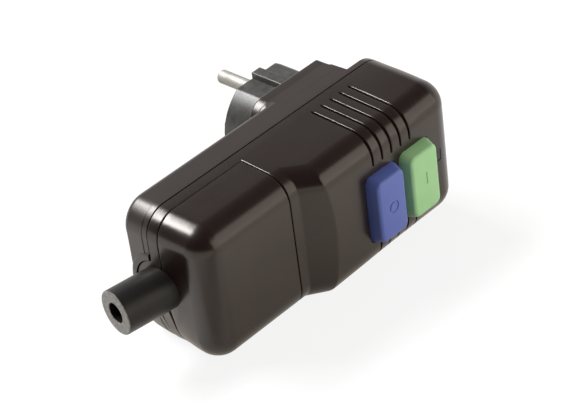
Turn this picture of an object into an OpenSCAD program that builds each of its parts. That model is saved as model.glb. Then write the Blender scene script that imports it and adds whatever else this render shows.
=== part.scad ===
// Mains plug with a built-in residual current device, as an assembly of separate pieces.
// Frame: origin on the plug face midway between the pins, +Y out along the pins,
// +X away from the cable end, +Z across the pins. Depths are measured from the plug face towards the buttons.

/* [Plug face] */
// Diameter of a contact pin
pin_d = 4.8; // [4:0.1:5]
// Length of a pin in front of the plug face
pin_len = 19; // [17:0.5:21]
// Distance between the two pins
pin_pitch = 19; // [17.5:0.5:20]
// Diameter of the round plug insert
insert_d = 36; // [35.5:0.1:36.8]
// Width of the insert across its two flats
insert_flats = 31.2; // [29:0.2:32]
// Width of the guide rib on each flat
rib_w = 4.3; // [3:0.1:6]
// Width of the insert across its two guide ribs
rib_span = 35.6; // [34:0.1:35.8]
// Height of the insert from the hump to the plug face
insert_len = 20.7; // [18:0.1:24]
// Distance of the earth socket from the pin line
earth_offset = 10; // [9:0.1:10.5]
// Bore of the earth socket
earth_bore = 5; // [4.9:0.05:5.2]
// Width of the earth clips
clip_w = 5; // [4:0.1:6]

/* [Body] */
// Width of the body at the parting line
body_w = 50.4; // [49:0.2:54]
// Distance from the plug axis to the cable end
cable_len = 86.6; // [84:0.2:96]
// Distance from the plug axis to the far end
far_len = 22.3; // [22:0.1:26]
// Height of the terminal cover's front over the parting line
cover_h = 23.2; // [22:0.1:26]
// Height of the button face over the parting line
front_h = 28.6; // [27:0.1:32]
// Height of the back face on the cable side behind the parting line
back_h = 11; // [10:0.1:12]
// Height of the low rim at the far end behind the parting line
rim_h = 2.5; // [2:0.1:3.5]
// Thickness of the moulded walls
wall = 2.2; // [1.8:0.1:2.4]
// Draft of the side walls in degrees
draft = 3; // [0:0.5:4]
// Plan corner radius at the cable end
corner_cable = 9; // [7:0.5:11]
// Plan corner radius at the far end
corner_far = 8; // [6:0.5:10]
// Radius of the front edges
edge_r = 8.4; // [7:0.1:9]
// Radius of the back edges
back_edge_r = 3; // [1:0.5:4]

/* [Hump] */
// Height of the hump's flat top behind the parting line
hump_h = 15.8; // [14.5:0.1:16.4]
// Reach of the hump towards the cable end
hump_cable = 25.5; // [24:0.5:30]
// Reach of the hump's flat sides towards the far end
hump_far = 7.4; // [4:0.2:10]
// Plan corner radius of the hump
hump_corner = 8; // [5:0.5:9]
// Radius of the round collar around the insert
collar_r = 21; // [20.8:0.1:21.5]

/* [Terminal cover] */
// Distance from the plug axis to the cover's seam
seam_x = 48.5; // [47:0.1:50]
// Height of the housing band between parting line and cover
band_h = 4.1; // [3:0.1:5]
// Flat stretch between the seam and the slope
slope_gap = 3.9; // [3:0.1:5]
// Length of the slope up to the button face
slope_len = 8.2; // [6:0.1:10]

/* [Cable sleeve] */
// Outer diameter of the rubber sleeve
sleeve_d = 14.8; // [13:0.1:15.6]
// Bore of the rubber sleeve
sleeve_bore = 6.8; // [6:0.1:9]
// Length of the sleeve outside the body
sleeve_len = 16.8; // [12:0.1:24]
// Tilt of the sleeve towards the plug side in degrees
sleeve_tilt = 9; // [4:0.5:11]
// Depth of the sleeve axis at the end wall
sleeve_axis_d = 39; // [38.6:0.1:39.6]

/* [Buttons] */
// Width of a button along the body
button_w = 12.6; // [11:0.1:13]
// Height of a button across the body
button_h = 23; // [20:0.2:23.6]
// Rise of a button above the button face
button_rise = 4.5; // [3.5:0.1:6]
// Corner radius of a button
button_r = 2.4; // [1:0.1:3]
// Position of the test button along the body
test_x = -15.8; // [-16.4:0.1:-15.4]
// Position of the reset button along the body
reset_x = 1.1; // [0.8:0.1:1.6]
// Travel of the test button
test_travel = 2; // [1:0.1:2]
// Travel of the reset button
reset_travel = 3; // [1.5:0.1:3]

/* [Vent grooves] */
// Number of grooves on each long edge
groove_count = 5; // [3:1:6]
// Distance between grooves
groove_pitch = 4.35; // [4:0.05:5]
// Position of the groove nearest the cable end
groove_x = -16.6; // [-18:0.1:-14]
// Width of a groove
groove_w = 1.3; // [0.8:0.1:1.8]
// Depth of a groove
groove_depth = 0.9; // [0.5:0.1:1.2]
// Where the grooves end on the button face, from the middle
groove_end_z = 13.6; // [13.2:0.1:15]

/* [Mechanism] */
// Thickness of the circuit board
board_t = 1.6; // [1:0.1:1.6]
// Width of the circuit board
board_w = 31; // [30:0.5:32]
// Travel of the contact carrier
carrier_travel = 2; // [1:0.1:2]
// Travel of the trip plunger
plunger_travel = 1.5; // [0.8:0.1:1.5]
// Outer diameter of the current transformer ring
ring_d = 17.6; // [15:0.2:18]
// Inner diameter of the current transformer ring
ring_bore = 8.6; // [7:0.2:9]

/* [Clearances] */
// Gap between pieces that are fixed to each other
seat_gap = 0.1; // [0.05:0.05:0.15]
// Gap around pieces that slide
slide_gap = 0.3; // [0.2:0.05:0.35]

/* [Hidden] */

eps = 0.02;
// Thickness of the slices that the rounded shells are drawn over
slice = 0.1;
// Overlap that makes cuts run clean through
cut = 1;
hull_fn = 32;
$fn = 48;

// Half width and end positions of the drafted body at a depth
function half_w(d) = body_w / 2 - abs(d - part_d) * tan(draft);
function cable_x(d) = -cable_len + abs(d - part_d) * tan(draft);
function far_x(d) = far_len - abs(d - part_d) * tan(draft);

// Depths below the plug face
part_d = insert_len + hump_h;
cover_d = part_d + cover_h;
front_d = part_d + front_h;
back_d = part_d - back_h;
rim_d = part_d - rim_h;
band_d = part_d + band_h;
slope_foot_x = -seam_x + slope_gap;
slope_top_x = slope_foot_x + slope_len;
partition_x = -seam_x + wall;

// Plug side
flange_r = collar_r - wall + 0.3;
flange_top = insert_len + wall + seat_gap;
flange_t = 2.4;
flange_bottom = flange_top + flange_t;
clip_t = 0.8;
clip_x = insert_d / 2 - 0.6;
clip_hook = 0.6;
clip_slot_in = clip_x - clip_t - clip_hook - slide_gap;
earth_tube_t = 0.6;
earth_mouth = 4;
strap_top = flange_bottom + seat_gap;
strap_bottom = strap_top + clip_t;
pin_shank_d = pin_d - 0.4;
// Depth of the ring sunk into the plug face round each pin
pin_relief = 0.4;
pin_tail_d = 3;
pin_body_end = flange_bottom + 0.6;

// Board and what stands on it
board_back = part_d + 1.1;
board_front = board_back + board_t;
board_x0 = partition_x + 1;
board_x1 = far_len - wall - 1.6;
deck = board_front + seat_gap;
board_post_x = board_x0 + 6;
board_post_z = board_w / 2 - 3;
// Depth of the slope over the board posts
slope_d = cover_d + (board_post_x - slope_foot_x) / slope_len * (front_d - cover_d);

// Current transformer and conductors
ring_axis_d = deck + ring_d / 2;
ring_t = 8;
ring_x = partition_x + 4;
rod_d = 2;
rod_z = 1.8;
rod_leg_x = ring_x + ring_t + 2.1;

// Trip coil along X
yoke_len = 17;
yoke_t = 1;
yoke_x0 = rod_leg_x + rod_d / 2 + 0.4;
yoke_x1 = yoke_x0 + yoke_len;
bobbin_r = 5.6;
winding_r = 5.2;
core_r = 2.8;
plunger_r = 2;
plunger_bore = plunger_r + slide_gap;
coil_axis_d = deck + yoke_t + bobbin_r + slide_gap;
bobbin_x0 = yoke_x0 + yoke_t + seat_gap;
bobbin_x1 = yoke_x1 - yoke_t - seat_gap;
bobbin_flange = 1;
neck_r = 1.2;
head_r = 2.4;
head_t = 0.9;
shoulder_r = 3.6;
shoulder_t = 0.8;

// Mechanism frame that guides both buttons, over the coil and the latch pivot
pivot_r = 0.8;
barrel_r = 1.6;
pivot_d = coil_axis_d + head_r + barrel_r;
headroom = 1.2;
frame_bottom = max(coil_axis_d + bobbin_r, pivot_d + barrel_r) + headroom;
frame_t = 2;
frame_top = frame_bottom + frame_t;
frame_x0 = test_x - button_w / 2 - 1.4;
frame_x1 = reset_x + button_w / 2 + 1.4;
frame_z = 12.8;
leg = 2.5;
stem_r = 2.5;
stem_bore = stem_r + slide_gap;

// Contact carrier on the reset stem
carrier_x0 = reset_x - 5.1;
carrier_x1 = reset_x + 4.9;
carrier_z = 9;
carrier_t = 5;
carrier_top = frame_bottom - carrier_travel - 1.5;
carrier_bottom = carrier_top - carrier_t;
blade_z = 6.5;
blade_t = 0.6;
blade_d = carrier_bottom + 2.1;
blade_w = 3;
contact_x = carrier_x1 + 4.2;
contact_r = 1.6;
contact_t = 1;
contact_gap = 0.2;
fixed_face = blade_d + blade_t + contact_t + carrier_travel + contact_gap;

// Latch lever between the plunger and the carrier
lever_t = 1.2;
lever_z = 4;
lever_x = carrier_x0 - 3.7;
lever_end = coil_axis_d - shoulder_r;
nose_t = 1.2;
nose_d0 = coil_axis_d - nose_t;
nose_d1 = coil_axis_d;
head_x0 = lever_x + lever_t / 2 + 1.3;
shoulder_x1 = lever_x - lever_t / 2 - 0.9;
shoulder_x0 = shoulder_x1 - shoulder_t;

// Buttons
button_flange = 0.9;
flange_d1 = front_d - wall - 0.5;
flange_d0 = flange_d1 - 1.2;
test_stem_end = frame_bottom + 1.4;
reset_stem_end = board_front + reset_travel + 0.8;
prong_z = 9.5;
prong_w = 2;
prong_end = frame_bottom - 0.1;
test_blade_d = prong_end - test_travel - 0.4;

// Indicator
window_x = 13.6;
window_z = 0.4;
window_w = 2;
window_h = 4.2;
window_flange = 0.8;
// Room for the rounding inside the far end, over the window's flange
window_drop = 0.8;

// Springs
wire_d = 0.6;
spring_r = stem_r + slide_gap + wire_d / 2 + 0.1;

// Screws
screw_r = 1.5;
screw_hole_r = 1.7;
screw_head_r = 2.6;
screw_head_t = 1.4;
head_bore_r = screw_head_r + slide_gap;
boss_r = 3.4;
cover_screw_x = -cable_len + corner_cable;
cover_screw_z = body_w / 2 - corner_cable;
cover_screw_seat = back_d + 4;
near_screw_x = partition_x + boss_r + 0.4;
far_screw_x = far_len - 6.3;
screw_z = body_w / 2 - 5.8;
near_screw_seat = back_d + 4;
far_screw_seat = rim_d + screw_head_t;
screw_reach = 14;

// Terminal compartment
floor_d = back_d + wall;
block_len = 13;
block_x1 = -seam_x - 4.5;
block_x0 = block_x1 - block_len;
block_top = floor_d + 5.2;
terminal_pitch = 8;
block_rail = 1;
block_half = 1.5 * terminal_pitch + block_rail / 2;
terminal_w = 6;
terminal_h = 6.9;
terminal_top = block_top + seat_gap + terminal_h;
wire_bore = 3.2;
wire_bore_d = block_top + 3.6;
terminal_screw_x = block_x0 + 4;
terminal_screw_r = 1.4;
sleeve_root = wall + 3;
clamp_x = (block_x0 - cable_len + sleeve_root) / 2;
clamp_w = 6;
clamp_z = 8.5;
clamp_post_r = 3;
clamp_seat = sleeve_axis_d - 3;
clamp_screw_len = 0.6 * (clamp_seat - floor_d);
clamp_t = 3;
clamp_screw_r = 1.3;

// Sleeve collar in the end wall
collar_in = sleeve_d / 2 + seat_gap;
tongue_r = sleeve_d / 2 + 2.2;
boss_ring_r = tongue_r + seat_gap + 1.4;
boss_ring_out = 0.5;

// Basic placing modules
module at(x, d, z) { translate([x, -d, z]) children(); }
module disc_y(x, d, z, r) { at(x, d, z) rotate([90, 0, 0]) cylinder(r = r, h = slice, center = true, $fn = hull_fn); }
module disc_x(x, d, z, r) { at(x, d, z) rotate([0, 90, 0]) cylinder(r = r, h = slice, center = true, $fn = hull_fn); }
// Ball with its outermost points on the three axes, so that it meets the flat sides exactly
module ball(x, d, z, r) {
    at(x, d, z) rotate_extrude($fn = hull_fn)
        polygon([for (a = [-90:360 / hull_fn:90]) [r * cos(a), r * sin(a)]]);
}
// Cylinder along the depth from d0 to d1
module post(x, z, r, d0, d1) { at(x, d1, z) rotate([-90, 0, 0]) cylinder(r = r, h = d1 - d0); }
// Cylinder along X from x0 to x1
module shaft(x0, x1, d, z, r) { at(x0, d, z) rotate([0, 90, 0]) cylinder(r = r, h = x1 - x0); }
// Cylinder along Z from z0 to z1
module cross_pin(x, d, z0, z1, r) { at(x, d, z0) cylinder(r = r, h = z1 - z0); }
// Box between two x, two depths and two z
module box(x0, x1, d0, d1, z0, z1) { translate([x0, -d1, z0]) cube([x1 - x0, d1 - d0, z1 - z0]); }
// Round rod between two points, and a rod with round bends through a list of points
module rod(p, q, d) {
    v = q - p;
    translate(p) rotate([0, acos(v.z / norm(v)), atan2(v.y, v.x)]) cylinder(d = d, h = norm(v));
}
module bent_rod(points, d) {
    for (i = [0:len(points) - 2]) rod(points[i], points[i + 1], d);
    for (i = [1:len(points) - 2]) translate(points[i]) sphere(d = d);
}
// Helical spring along Z between 0 and h
module helix(r, wire, turns, h) {
    sides = 6;
    rings = turns * 12;
    rise = h - wire;
    points = [for (i = [0:rings]) for (k = [0:sides - 1])
        let (a = 360 * turns * i / rings, b = 360 * k / sides, q = r + wire / 2 * cos(b))
        [q * cos(a), q * sin(a), wire / 2 + rise * i / rings + wire / 2 * sin(b)]];
    skin = [for (i = [0:rings - 1]) for (k = [0:sides - 1])
        let (n = (k + 1) % sides, u = i * sides, w = (i + 1) * sides)
        each [[u + k, w + k, w + n], [u + k, w + n, u + n]]];
    caps = [for (k = [1:sides - 2]) each
        [[0, k, k + 1], [rings * sides, rings * sides + k + 1, rings * sides + k]]];
    polyhedron(points, concat(skin, caps));
}

// A skin stops at its foot, and a hollow runs on through it
function foot_shift(inset) = inset > 0 ? -cut : slice / 2;
// Cross-section of the body at x: drafted sides and rounded front edges
module section(x, d, foot_d, inset) {
    for (s = [-1, 1]) disc_x(x, d - edge_r, s * (half_w(d - edge_r) - edge_r), edge_r - inset);
    at(x, foot_d + foot_shift(inset), 0) cube([slice, slice, 2 * (half_w(foot_d) - inset)], center = true);
}
// Button section of the body with its slope
module button_block(inset) {
    end_x = far_x(front_d - edge_r) - edge_r;
    hull() {
        section(slope_foot_x, cover_d, part_d, inset);
        section(slope_top_x, front_d, part_d, inset);
        for (s = [-1, 1]) {
            ball(end_x, front_d - edge_r, s * (half_w(front_d - edge_r) - edge_r), edge_r - inset);
            disc_y(far_len - corner_far, part_d + foot_shift(inset), s * (body_w / 2 - corner_far),
                corner_far - inset);
        }
    }
}
// Low stretch of the body between two sections
module low_block(x0, x1, inset) {
    hull() {
        section(x0, cover_d, part_d, inset);
        section(x1, cover_d, part_d, inset);
    }
}
// Cap over the cable end
module cap_block(x1, foot_d, inset) {
    end_x = cable_x(cover_d - edge_r) + edge_r;
    hull() {
        section(x1, cover_d, foot_d, inset);
        for (s = [-1, 1]) {
            ball(end_x, cover_d - edge_r, s * (half_w(cover_d - edge_r) - edge_r), edge_r - inset);
            disc_y(cable_x(foot_d) + corner_cable, foot_d + foot_shift(inset),
                s * (half_w(foot_d) - corner_cable), corner_cable - inset);
        }
    }
}
// Plan outline of the body, as a plate between two depths
module plan_plate(d0, d1, inset, x1 = far_len) {
    r0 = corner_cable - inset;
    r1 = corner_far - inset;
    far = min(x1, far_len - inset);
    w = body_w - 2 * inset;
    box(-cable_len + corner_cable, min(far, far_len - corner_far), d0, d1, -w / 2, w / 2);
    box(-cable_len + inset, 0, d0, d1, -body_w / 2 + corner_cable, body_w / 2 - corner_cable);
    for (s = [-1, 1]) post(-cable_len + corner_cable, s * (body_w / 2 - corner_cable), r0, d0, d1);
    if (x1 >= far_len) {
        box(0, far, d0, d1, -body_w / 2 + corner_far, body_w / 2 - corner_far);
        for (s = [-1, 1]) post(far_len - corner_far, s * (body_w / 2 - corner_far), r1, d0, d1);
    }
}
// One rounded back corner of the rear shell, from the parting line to depth d
module back_corner(x, z_side, r, d, edge, inset) {
    for (a = [0, 30, 60, 90])
        disc_y(x, d + slice / 2 + edge * (1 - cos(a)), z_side * (half_w(d) - r), r - inset - edge * (1 - sin(a)));
    disc_y(x, part_d - foot_shift(inset), z_side * (body_w / 2 - r), r - inset);
}
// Rear shell body on the cable side
module back_block(inset) {
    edge = max(back_edge_r - inset, 0.2);
    hull() for (s = [-1, 1]) {
        back_corner(cable_x(back_d) + corner_cable, s, corner_cable, back_d + inset, edge, inset);
        back_corner(hump_far - 4, s, 4, back_d + inset, edge, inset);
    }
}
// Hump that carries the plug insert, flush with the sides of the body
module hump_block(inset) {
    edge = 1.2;
    hull() for (s = [-1, 1]) {
        back_corner(-hump_cable + hump_corner, s, hump_corner, insert_len + inset, edge, inset);
        back_corner(hump_far - 2.6, s, 2.6, insert_len + inset, edge, inset);
    }
}
// Plug insert outline with flats and ribs, grown by a gap
module insert_profile(d0, d1, gap) {
    intersection() {
        post(0, 0, insert_d / 2 + gap, d0, d1);
        union() {
            box(-insert_d, insert_d, d0 - cut, d1 + cut, -insert_flats / 2 - gap, insert_flats / 2 + gap);
            box(-rib_w / 2 - gap, rib_w / 2 + gap, d0 - cut, d1 + cut,
                -rib_span / 2 - gap, rib_span / 2 + gap);
        }
    }
}
// Tilted cylinder along the sleeve axis, from inside the wall outwards
module along_sleeve(r, inner, outer) {
    at(-cable_len, sleeve_axis_d, 0) rotate([0, 0, -sleeve_tilt]) translate([inner, 0, 0])
        rotate([0, -90, 0]) cylinder(r = r, h = inner + outer);
}
// Screw with a flat head at seat depth, pointing to the front
module screw(x, z, seat, reach) {
    post(x, z, screw_head_r, seat - screw_head_t, seat);
    post(x, z, screw_r, seat, seat + reach);
}
// Screw boss in the rear shell with its head recess
module rear_boss(x, z, from) { post(x, z, boss_r, from, part_d - seat_gap); }
module rear_screw_hole(x, z, seat) {
    post(x, z, head_bore_r, 0, seat);
    post(x, z, screw_hole_r, seat - cut, part_d + cut);
}
module button_shape(x, d0, d1, grow) {
    r = button_r + grow;
    w = button_w / 2 + grow - r;
    h = button_h / 2 + grow - r;
    box(x - w - r, x + w + r, d0, d1, -h, h);
    box(x - w, x + w, d0, d1, -h - r, h + r);
    for (i = [-1, 1], j = [-1, 1]) post(x + i * w, j * h, r, d0, d1);
}

// Sub-parts
module rear_shell() {
    color([0.09, 0.08, 0.07]) difference() {
        union() {
            difference() {
                union() {
                    plan_plate(rim_d, part_d, 0);
                    back_block(0);
                    hump_block(0);
                    post(0, 0, collar_r, insert_len, rim_d + cut);
                    intersection() {
                        shaft(-cable_len - boss_ring_out, -cable_len + corner_cable, sleeve_axis_d, 0,
                            boss_ring_r);
                        box(-2 * cable_len, 0, back_d, part_d, -body_w, body_w);
                    }
                }
                back_block(wall);
                hump_block(wall);
                post(0, 0, collar_r - wall + 0.5, insert_len + wall, part_d + cut);
                insert_profile(0, insert_len + wall + cut, seat_gap);
                shaft(-cable_len - cut - boss_ring_out, -cable_len + corner_cable + cut, sleeve_axis_d, 0,
                    tongue_r + seat_gap);
            }
            for (s = [-1, 1]) {
                rear_boss(cover_screw_x, s * cover_screw_z, back_d + 1);
                rear_boss(near_screw_x, s * screw_z, back_d + 1);
                post(board_post_x, s * board_post_z, 2, floor_d - wall / 2, board_back - seat_gap);
                post(board_x1 - 2, s * (board_w / 2 - 2), 1.5, part_d - 1, board_back - seat_gap);
                post(clamp_x, s * clamp_z, clamp_post_r, floor_d - wall / 2, clamp_seat - seat_gap);
            }
        }
        for (s = [-1, 1]) {
            rear_screw_hole(cover_screw_x, s * cover_screw_z, cover_screw_seat);
            rear_screw_hole(near_screw_x, s * screw_z, near_screw_seat);
            rear_screw_hole(far_screw_x, s * screw_z, far_screw_seat);
            post(clamp_x, s * clamp_z, clamp_screw_r, floor_d + 1, clamp_seat);
        }
    }
}

module vent_cutter() {
    start_d = band_d;
    difference() {
        for (i = [0:groove_count - 1], s = [-1, 1]) {
            x = groove_x + i * groove_pitch;
            z0 = s > 0 ? groove_end_z : -body_w;
            box(x - groove_w / 2, x + groove_w / 2, start_d, front_d + cut, z0, z0 + body_w - groove_end_z);
        }
        button_block(groove_depth);
    }
}

module front_housing() {
    lip_t = 1.2;
    lip_h = 2;
    lip_inset = wall + seat_gap + (band_h + lip_h) * tan(draft);
    color([0.09, 0.08, 0.07]) difference() {
        union() {
            difference() {
                union() {
                    button_block(0);
                    low_block(-seam_x + slice / 2, slope_foot_x, 0);
                }
                button_block(wall);
                low_block(partition_x, slope_foot_x + eps, wall);
                vent_cutter();
                for (x = [test_x, reset_x]) button_shape(x, front_d - wall - cut, front_d + cut, slide_gap);
                box(window_x - window_w / 2 - seat_gap, window_x + window_w / 2 + seat_gap,
                    front_d - wall - cut, front_d + cut,
                    window_z - window_h / 2 - seat_gap, window_z + window_h / 2 + seat_gap);
            }
            difference() {
                union() {
                    plan_plate(part_d, band_d, 0, -seam_x);
                    plan_plate(part_d, band_d + lip_h, lip_inset, -seam_x);
                    intersection() {
                        shaft(-cable_len - boss_ring_out, -cable_len + wall, sleeve_axis_d, 0, tongue_r);
                        box(-2 * cable_len, 0, 0, band_d, -body_w, body_w);
                    }
                }
                plan_plate(part_d - cut, band_d + lip_h + cut, lip_inset + lip_t, 0);
                along_sleeve(collar_in, corner_cable, sleeve_len);
            }
            for (s = [-1, 1]) {
                post(near_screw_x, s * screw_z, boss_r, part_d, cover_d - wall);
                post(far_screw_x, s * screw_z, boss_r, part_d, front_d - edge_r);
                post(board_post_x, s * board_post_z, 1.8, deck, slope_d - wall);
            }
        }
        for (s = [-1, 1], x = [near_screw_x, far_screw_x])
            post(x, s * screw_z, screw_r + eps, part_d - cut, part_d + screw_reach + 2);
        for (s = [-1, 1]) shaft(-seam_x - cut, partition_x + cut, ring_axis_d, s * rod_z, rod_d / 2 + seat_gap);
    }
}

module terminal_cover() {
    color([0.09, 0.08, 0.07]) difference() {
        union() {
            difference() {
                cap_block(-seam_x - seat_gap - slice / 2, band_d + seat_gap, 0);
                cap_block(-seam_x + cut, band_d, wall);
            }
            for (s = [-1, 1]) post(cover_screw_x, s * cover_screw_z, boss_r, part_d + 0.2, cover_d - wall / 2);
        }
        along_sleeve(collar_in, corner_cable, sleeve_len);
        for (s = [-1, 1])
            post(cover_screw_x, s * cover_screw_z, screw_r + eps, part_d - cut, part_d + screw_reach + 2);
    }
}

module plug_insert() {
    color([0.2, 0.2, 0.2]) difference() {
        union() {
            insert_profile(0, flange_top + eps, 0);
            post(0, 0, flange_r, flange_top, flange_bottom);
        }
        for (s = [-1, 1]) {
            post(0, s * pin_pitch / 2, pin_shank_d / 2 + eps, -cut, flange_bottom + cut);
            post(0, s * pin_pitch / 2, pin_d / 2 + seat_gap, -cut, pin_relief);
            mirror([s < 0 ? 1 : 0, 0, 0]) box(clip_slot_in, flange_r + cut, 1.5, flange_bottom + cut,
                -clip_w / 2 - slide_gap, clip_w / 2 + slide_gap);
        }
        post(earth_offset, 0, earth_bore / 2 + seat_gap, -cut, earth_mouth + cut);
        post(earth_offset, 0, earth_bore / 2 + earth_tube_t + seat_gap, earth_mouth, flange_bottom + cut);
    }
}

module contact_pin(side) {
    tip = 1.4;
    color([0.78, 0.77, 0.74]) {
        at(0, pin_body_end, side * pin_pitch / 2) rotate([-90, 0, 0]) rotate_extrude() {
            square([pin_shank_d / 2, pin_body_end + eps]);
            translate([0, pin_body_end]) square([pin_d / 2, pin_len - tip]);
            intersection() {
                translate([0, pin_body_end + pin_len - tip]) square([pin_d / 2, tip]);
                translate([pin_d / 2 - tip, pin_body_end + pin_len - tip]) circle(r = tip);
            }
            translate([0, pin_body_end + pin_len - tip - eps]) square([pin_d / 2 - tip, tip + eps]);
        }
        post(0, side * pin_pitch / 2, pin_tail_d / 2, pin_body_end - eps, board_front + 1);
    }
}
module line_pin() { contact_pin(1); }
module neutral_pin() { contact_pin(-1); }

module earth_strap() {
    bow = 0.5;
    color([0.8, 0.72, 0.45]) {
        box(-clip_x, clip_x, strap_top, strap_bottom, -clip_w / 2, clip_w / 2);
        for (s = [0, 1]) mirror([s, 0, 0]) translate([0, 0, -clip_w / 2]) linear_extrude(clip_w)
            polygon([[clip_x - clip_t, -strap_bottom], [clip_x, -strap_bottom], [clip_x, -14],
                [clip_x + bow, -9], [clip_x, -4], [clip_x - clip_hook, -2.2], [clip_x - clip_hook - clip_t, -2.2],
                [clip_x - clip_t, -4], [clip_x + bow - clip_t, -9], [clip_x - clip_t, -14]]);
    }
}

module earth_socket() {
    color([0.8, 0.72, 0.45]) difference() {
        post(earth_offset, 0, earth_bore / 2 + earth_tube_t, earth_mouth + seat_gap, strap_top);
        post(earth_offset, 0, earth_bore / 2, 0, strap_top - 1);
    }
}

module cable_sleeve() {
    round_r = 0.8;
    color([0.12, 0.13, 0.12]) difference() {
        union() {
            at(-cable_len, sleeve_axis_d, 0) rotate([0, 0, -sleeve_tilt]) translate([sleeve_root, 0, 0])
                rotate([0, -90, 0]) rotate_extrude() {
                    square([sleeve_d / 2 - round_r, sleeve_root + sleeve_len]);
                    square([sleeve_d / 2, sleeve_root + sleeve_len - round_r]);
                    translate([sleeve_d / 2 - round_r, sleeve_root + sleeve_len - round_r]) circle(r = round_r);
                }
        }
        along_sleeve(sleeve_bore / 2, corner_cable, sleeve_len + cut);
    }
}

module cable_clamp() {
    color([0.25, 0.25, 0.25]) difference() {
        box(clamp_x - clamp_w / 2, clamp_x + clamp_w / 2, clamp_seat, clamp_seat + clamp_t,
            -clamp_z - 3, clamp_z + 3);
        shaft(clamp_x - clamp_w, clamp_x + clamp_w, clamp_seat - 1.5, 0, sleeve_bore / 2 - 0.6);
        for (s = [-1, 1]) post(clamp_x, s * clamp_z, clamp_screw_r + 0.2, clamp_seat - cut, clamp_seat + clamp_t + cut);
    }
}

module clamp_screws() {
    color([0.75, 0.75, 0.75]) for (s = [-1, 1]) {
        post(clamp_x, s * clamp_z, clamp_screw_r - eps, clamp_seat - clamp_screw_len, clamp_seat + clamp_t + eps);
        post(clamp_x, s * clamp_z, screw_head_r, clamp_seat + clamp_t, clamp_seat + clamp_t + 1.6);
    }
}

module terminal_block() {
    color([0.85, 0.84, 0.8]) {
        box(block_x0, block_x1, floor_d + seat_gap, block_top, -block_half, block_half);
        for (z = [-1.5, -0.5, 0.5, 1.5]) box(block_x0, block_x1, block_top - eps, terminal_top - 1.5,
            z * terminal_pitch - block_rail / 2, z * terminal_pitch + block_rail / 2);
    }
}

module terminal(z) {
    color([0.83, 0.68, 0.35]) difference() {
        box(block_x0 + 1, block_x1 - 1, block_top + seat_gap, terminal_top, z - terminal_w / 2, z + terminal_w / 2);
        shaft(block_x0, block_x1, wire_bore_d, z, wire_bore / 2);
        post(terminal_screw_x, z, terminal_screw_r + eps, wire_bore_d, terminal_top + cut);
    }
}
module line_terminal() { terminal(terminal_pitch); }
module neutral_terminal() { terminal(-terminal_pitch); }
module earth_terminal() { terminal(0); }

module terminal_screws() {
    color([0.75, 0.75, 0.75]) for (z = [-1, 0, 1] * terminal_pitch) {
        post(terminal_screw_x, z, terminal_screw_r, wire_bore_d + 0.4, terminal_top + 0.6);
        post(terminal_screw_x, z, screw_head_r, terminal_top + 0.5, terminal_top + 2);
    }
}

module supply_conductor(side) {
    start_x = block_x1 - 1 + seat_gap;
    bend_x = (start_x - seam_x) / 2;
    color([0.72, 0.45, 0.28]) bent_rod([
        [start_x, -wire_bore_d, side * terminal_pitch], [bend_x, -wire_bore_d, side * terminal_pitch],
        [bend_x, -ring_axis_d, side * terminal_pitch], [bend_x, -ring_axis_d, side * rod_z],
        [rod_leg_x, -ring_axis_d, side * rod_z], [rod_leg_x, -deck, side * rod_z]], rod_d);
}
module line_conductor() { supply_conductor(1); }
module neutral_conductor() { supply_conductor(-1); }

module earth_conductor() {
    start_x = block_x1 - 1 + seat_gap;
    bend_x = (start_x - seam_x) / 2;
    run_d = max(floor_d, strap_bottom) + rod_d / 2 + slide_gap;
    color([0.45, 0.6, 0.2]) bent_rod([[start_x, -wire_bore_d, 0], [bend_x, -wire_bore_d, 0],
        [bend_x, -run_d, 0], [-clip_x + 4, -run_d, 0], [-clip_x + 4, -strap_bottom - seat_gap, 0]], rod_d);
}

module circuit_board() {
    color([0.1, 0.35, 0.18]) difference() {
        box(board_x0, board_x1, board_back, board_front, -board_w / 2, board_w / 2);
        for (s = [-1, 1]) post(0, s * pin_pitch / 2, pin_tail_d / 2 + seat_gap, board_back - cut, board_front + cut);
    }
}

module transformer_ring() {
    color([0.35, 0.3, 0.28]) difference() {
        shaft(ring_x, ring_x + ring_t, ring_axis_d, 0, ring_d / 2);
        shaft(ring_x - cut, ring_x + ring_t + cut, ring_axis_d, 0, ring_bore / 2);
    }
}

module coil_yoke() {
    half = bobbin_r + 0.9;
    top = coil_axis_d + bobbin_r;
    color([0.6, 0.6, 0.62]) difference() {
        union() {
            box(yoke_x0, yoke_x1, deck, deck + yoke_t, -half, half);
            box(yoke_x0, yoke_x0 + yoke_t, deck, top, -half, half);
            box(yoke_x1 - yoke_t, yoke_x1, deck, top, -half, half);
        }
        shaft(yoke_x1 - yoke_t - cut, yoke_x1 + cut, coil_axis_d, 0, plunger_bore);
    }
}

module coil_bobbin() {
    color([0.9, 0.9, 0.86]) difference() {
        union() {
            shaft(bobbin_x0, bobbin_x0 + bobbin_flange, coil_axis_d, 0, bobbin_r);
            shaft(bobbin_x1 - bobbin_flange, bobbin_x1, coil_axis_d, 0, bobbin_r);
            shaft(bobbin_x0, bobbin_x1, coil_axis_d, 0, core_r);
        }
        shaft(bobbin_x0 + bobbin_flange, bobbin_x1 + cut, coil_axis_d, 0, plunger_bore);
    }
}

module coil_winding() {
    color([0.7, 0.4, 0.2]) difference() {
        shaft(bobbin_x0 + bobbin_flange + seat_gap, bobbin_x1 - bobbin_flange - seat_gap, coil_axis_d, 0, winding_r);
        shaft(bobbin_x0, bobbin_x1, coil_axis_d, 0, core_r + seat_gap);
    }
}

module trip_plunger() {
    start_x = bobbin_x0 + bobbin_flange + plunger_travel + 0.6;
    color([0.65, 0.65, 0.67]) {
        shaft(start_x, shoulder_x0 + eps, coil_axis_d, 0, plunger_r);
        shaft(shoulder_x0, shoulder_x1, coil_axis_d, 0, shoulder_r);
        shaft(shoulder_x1 - eps, head_x0 + eps, coil_axis_d, 0, neck_r);
        shaft(head_x0, head_x0 + head_t, coil_axis_d, 0, head_r);
    }
}

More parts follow.
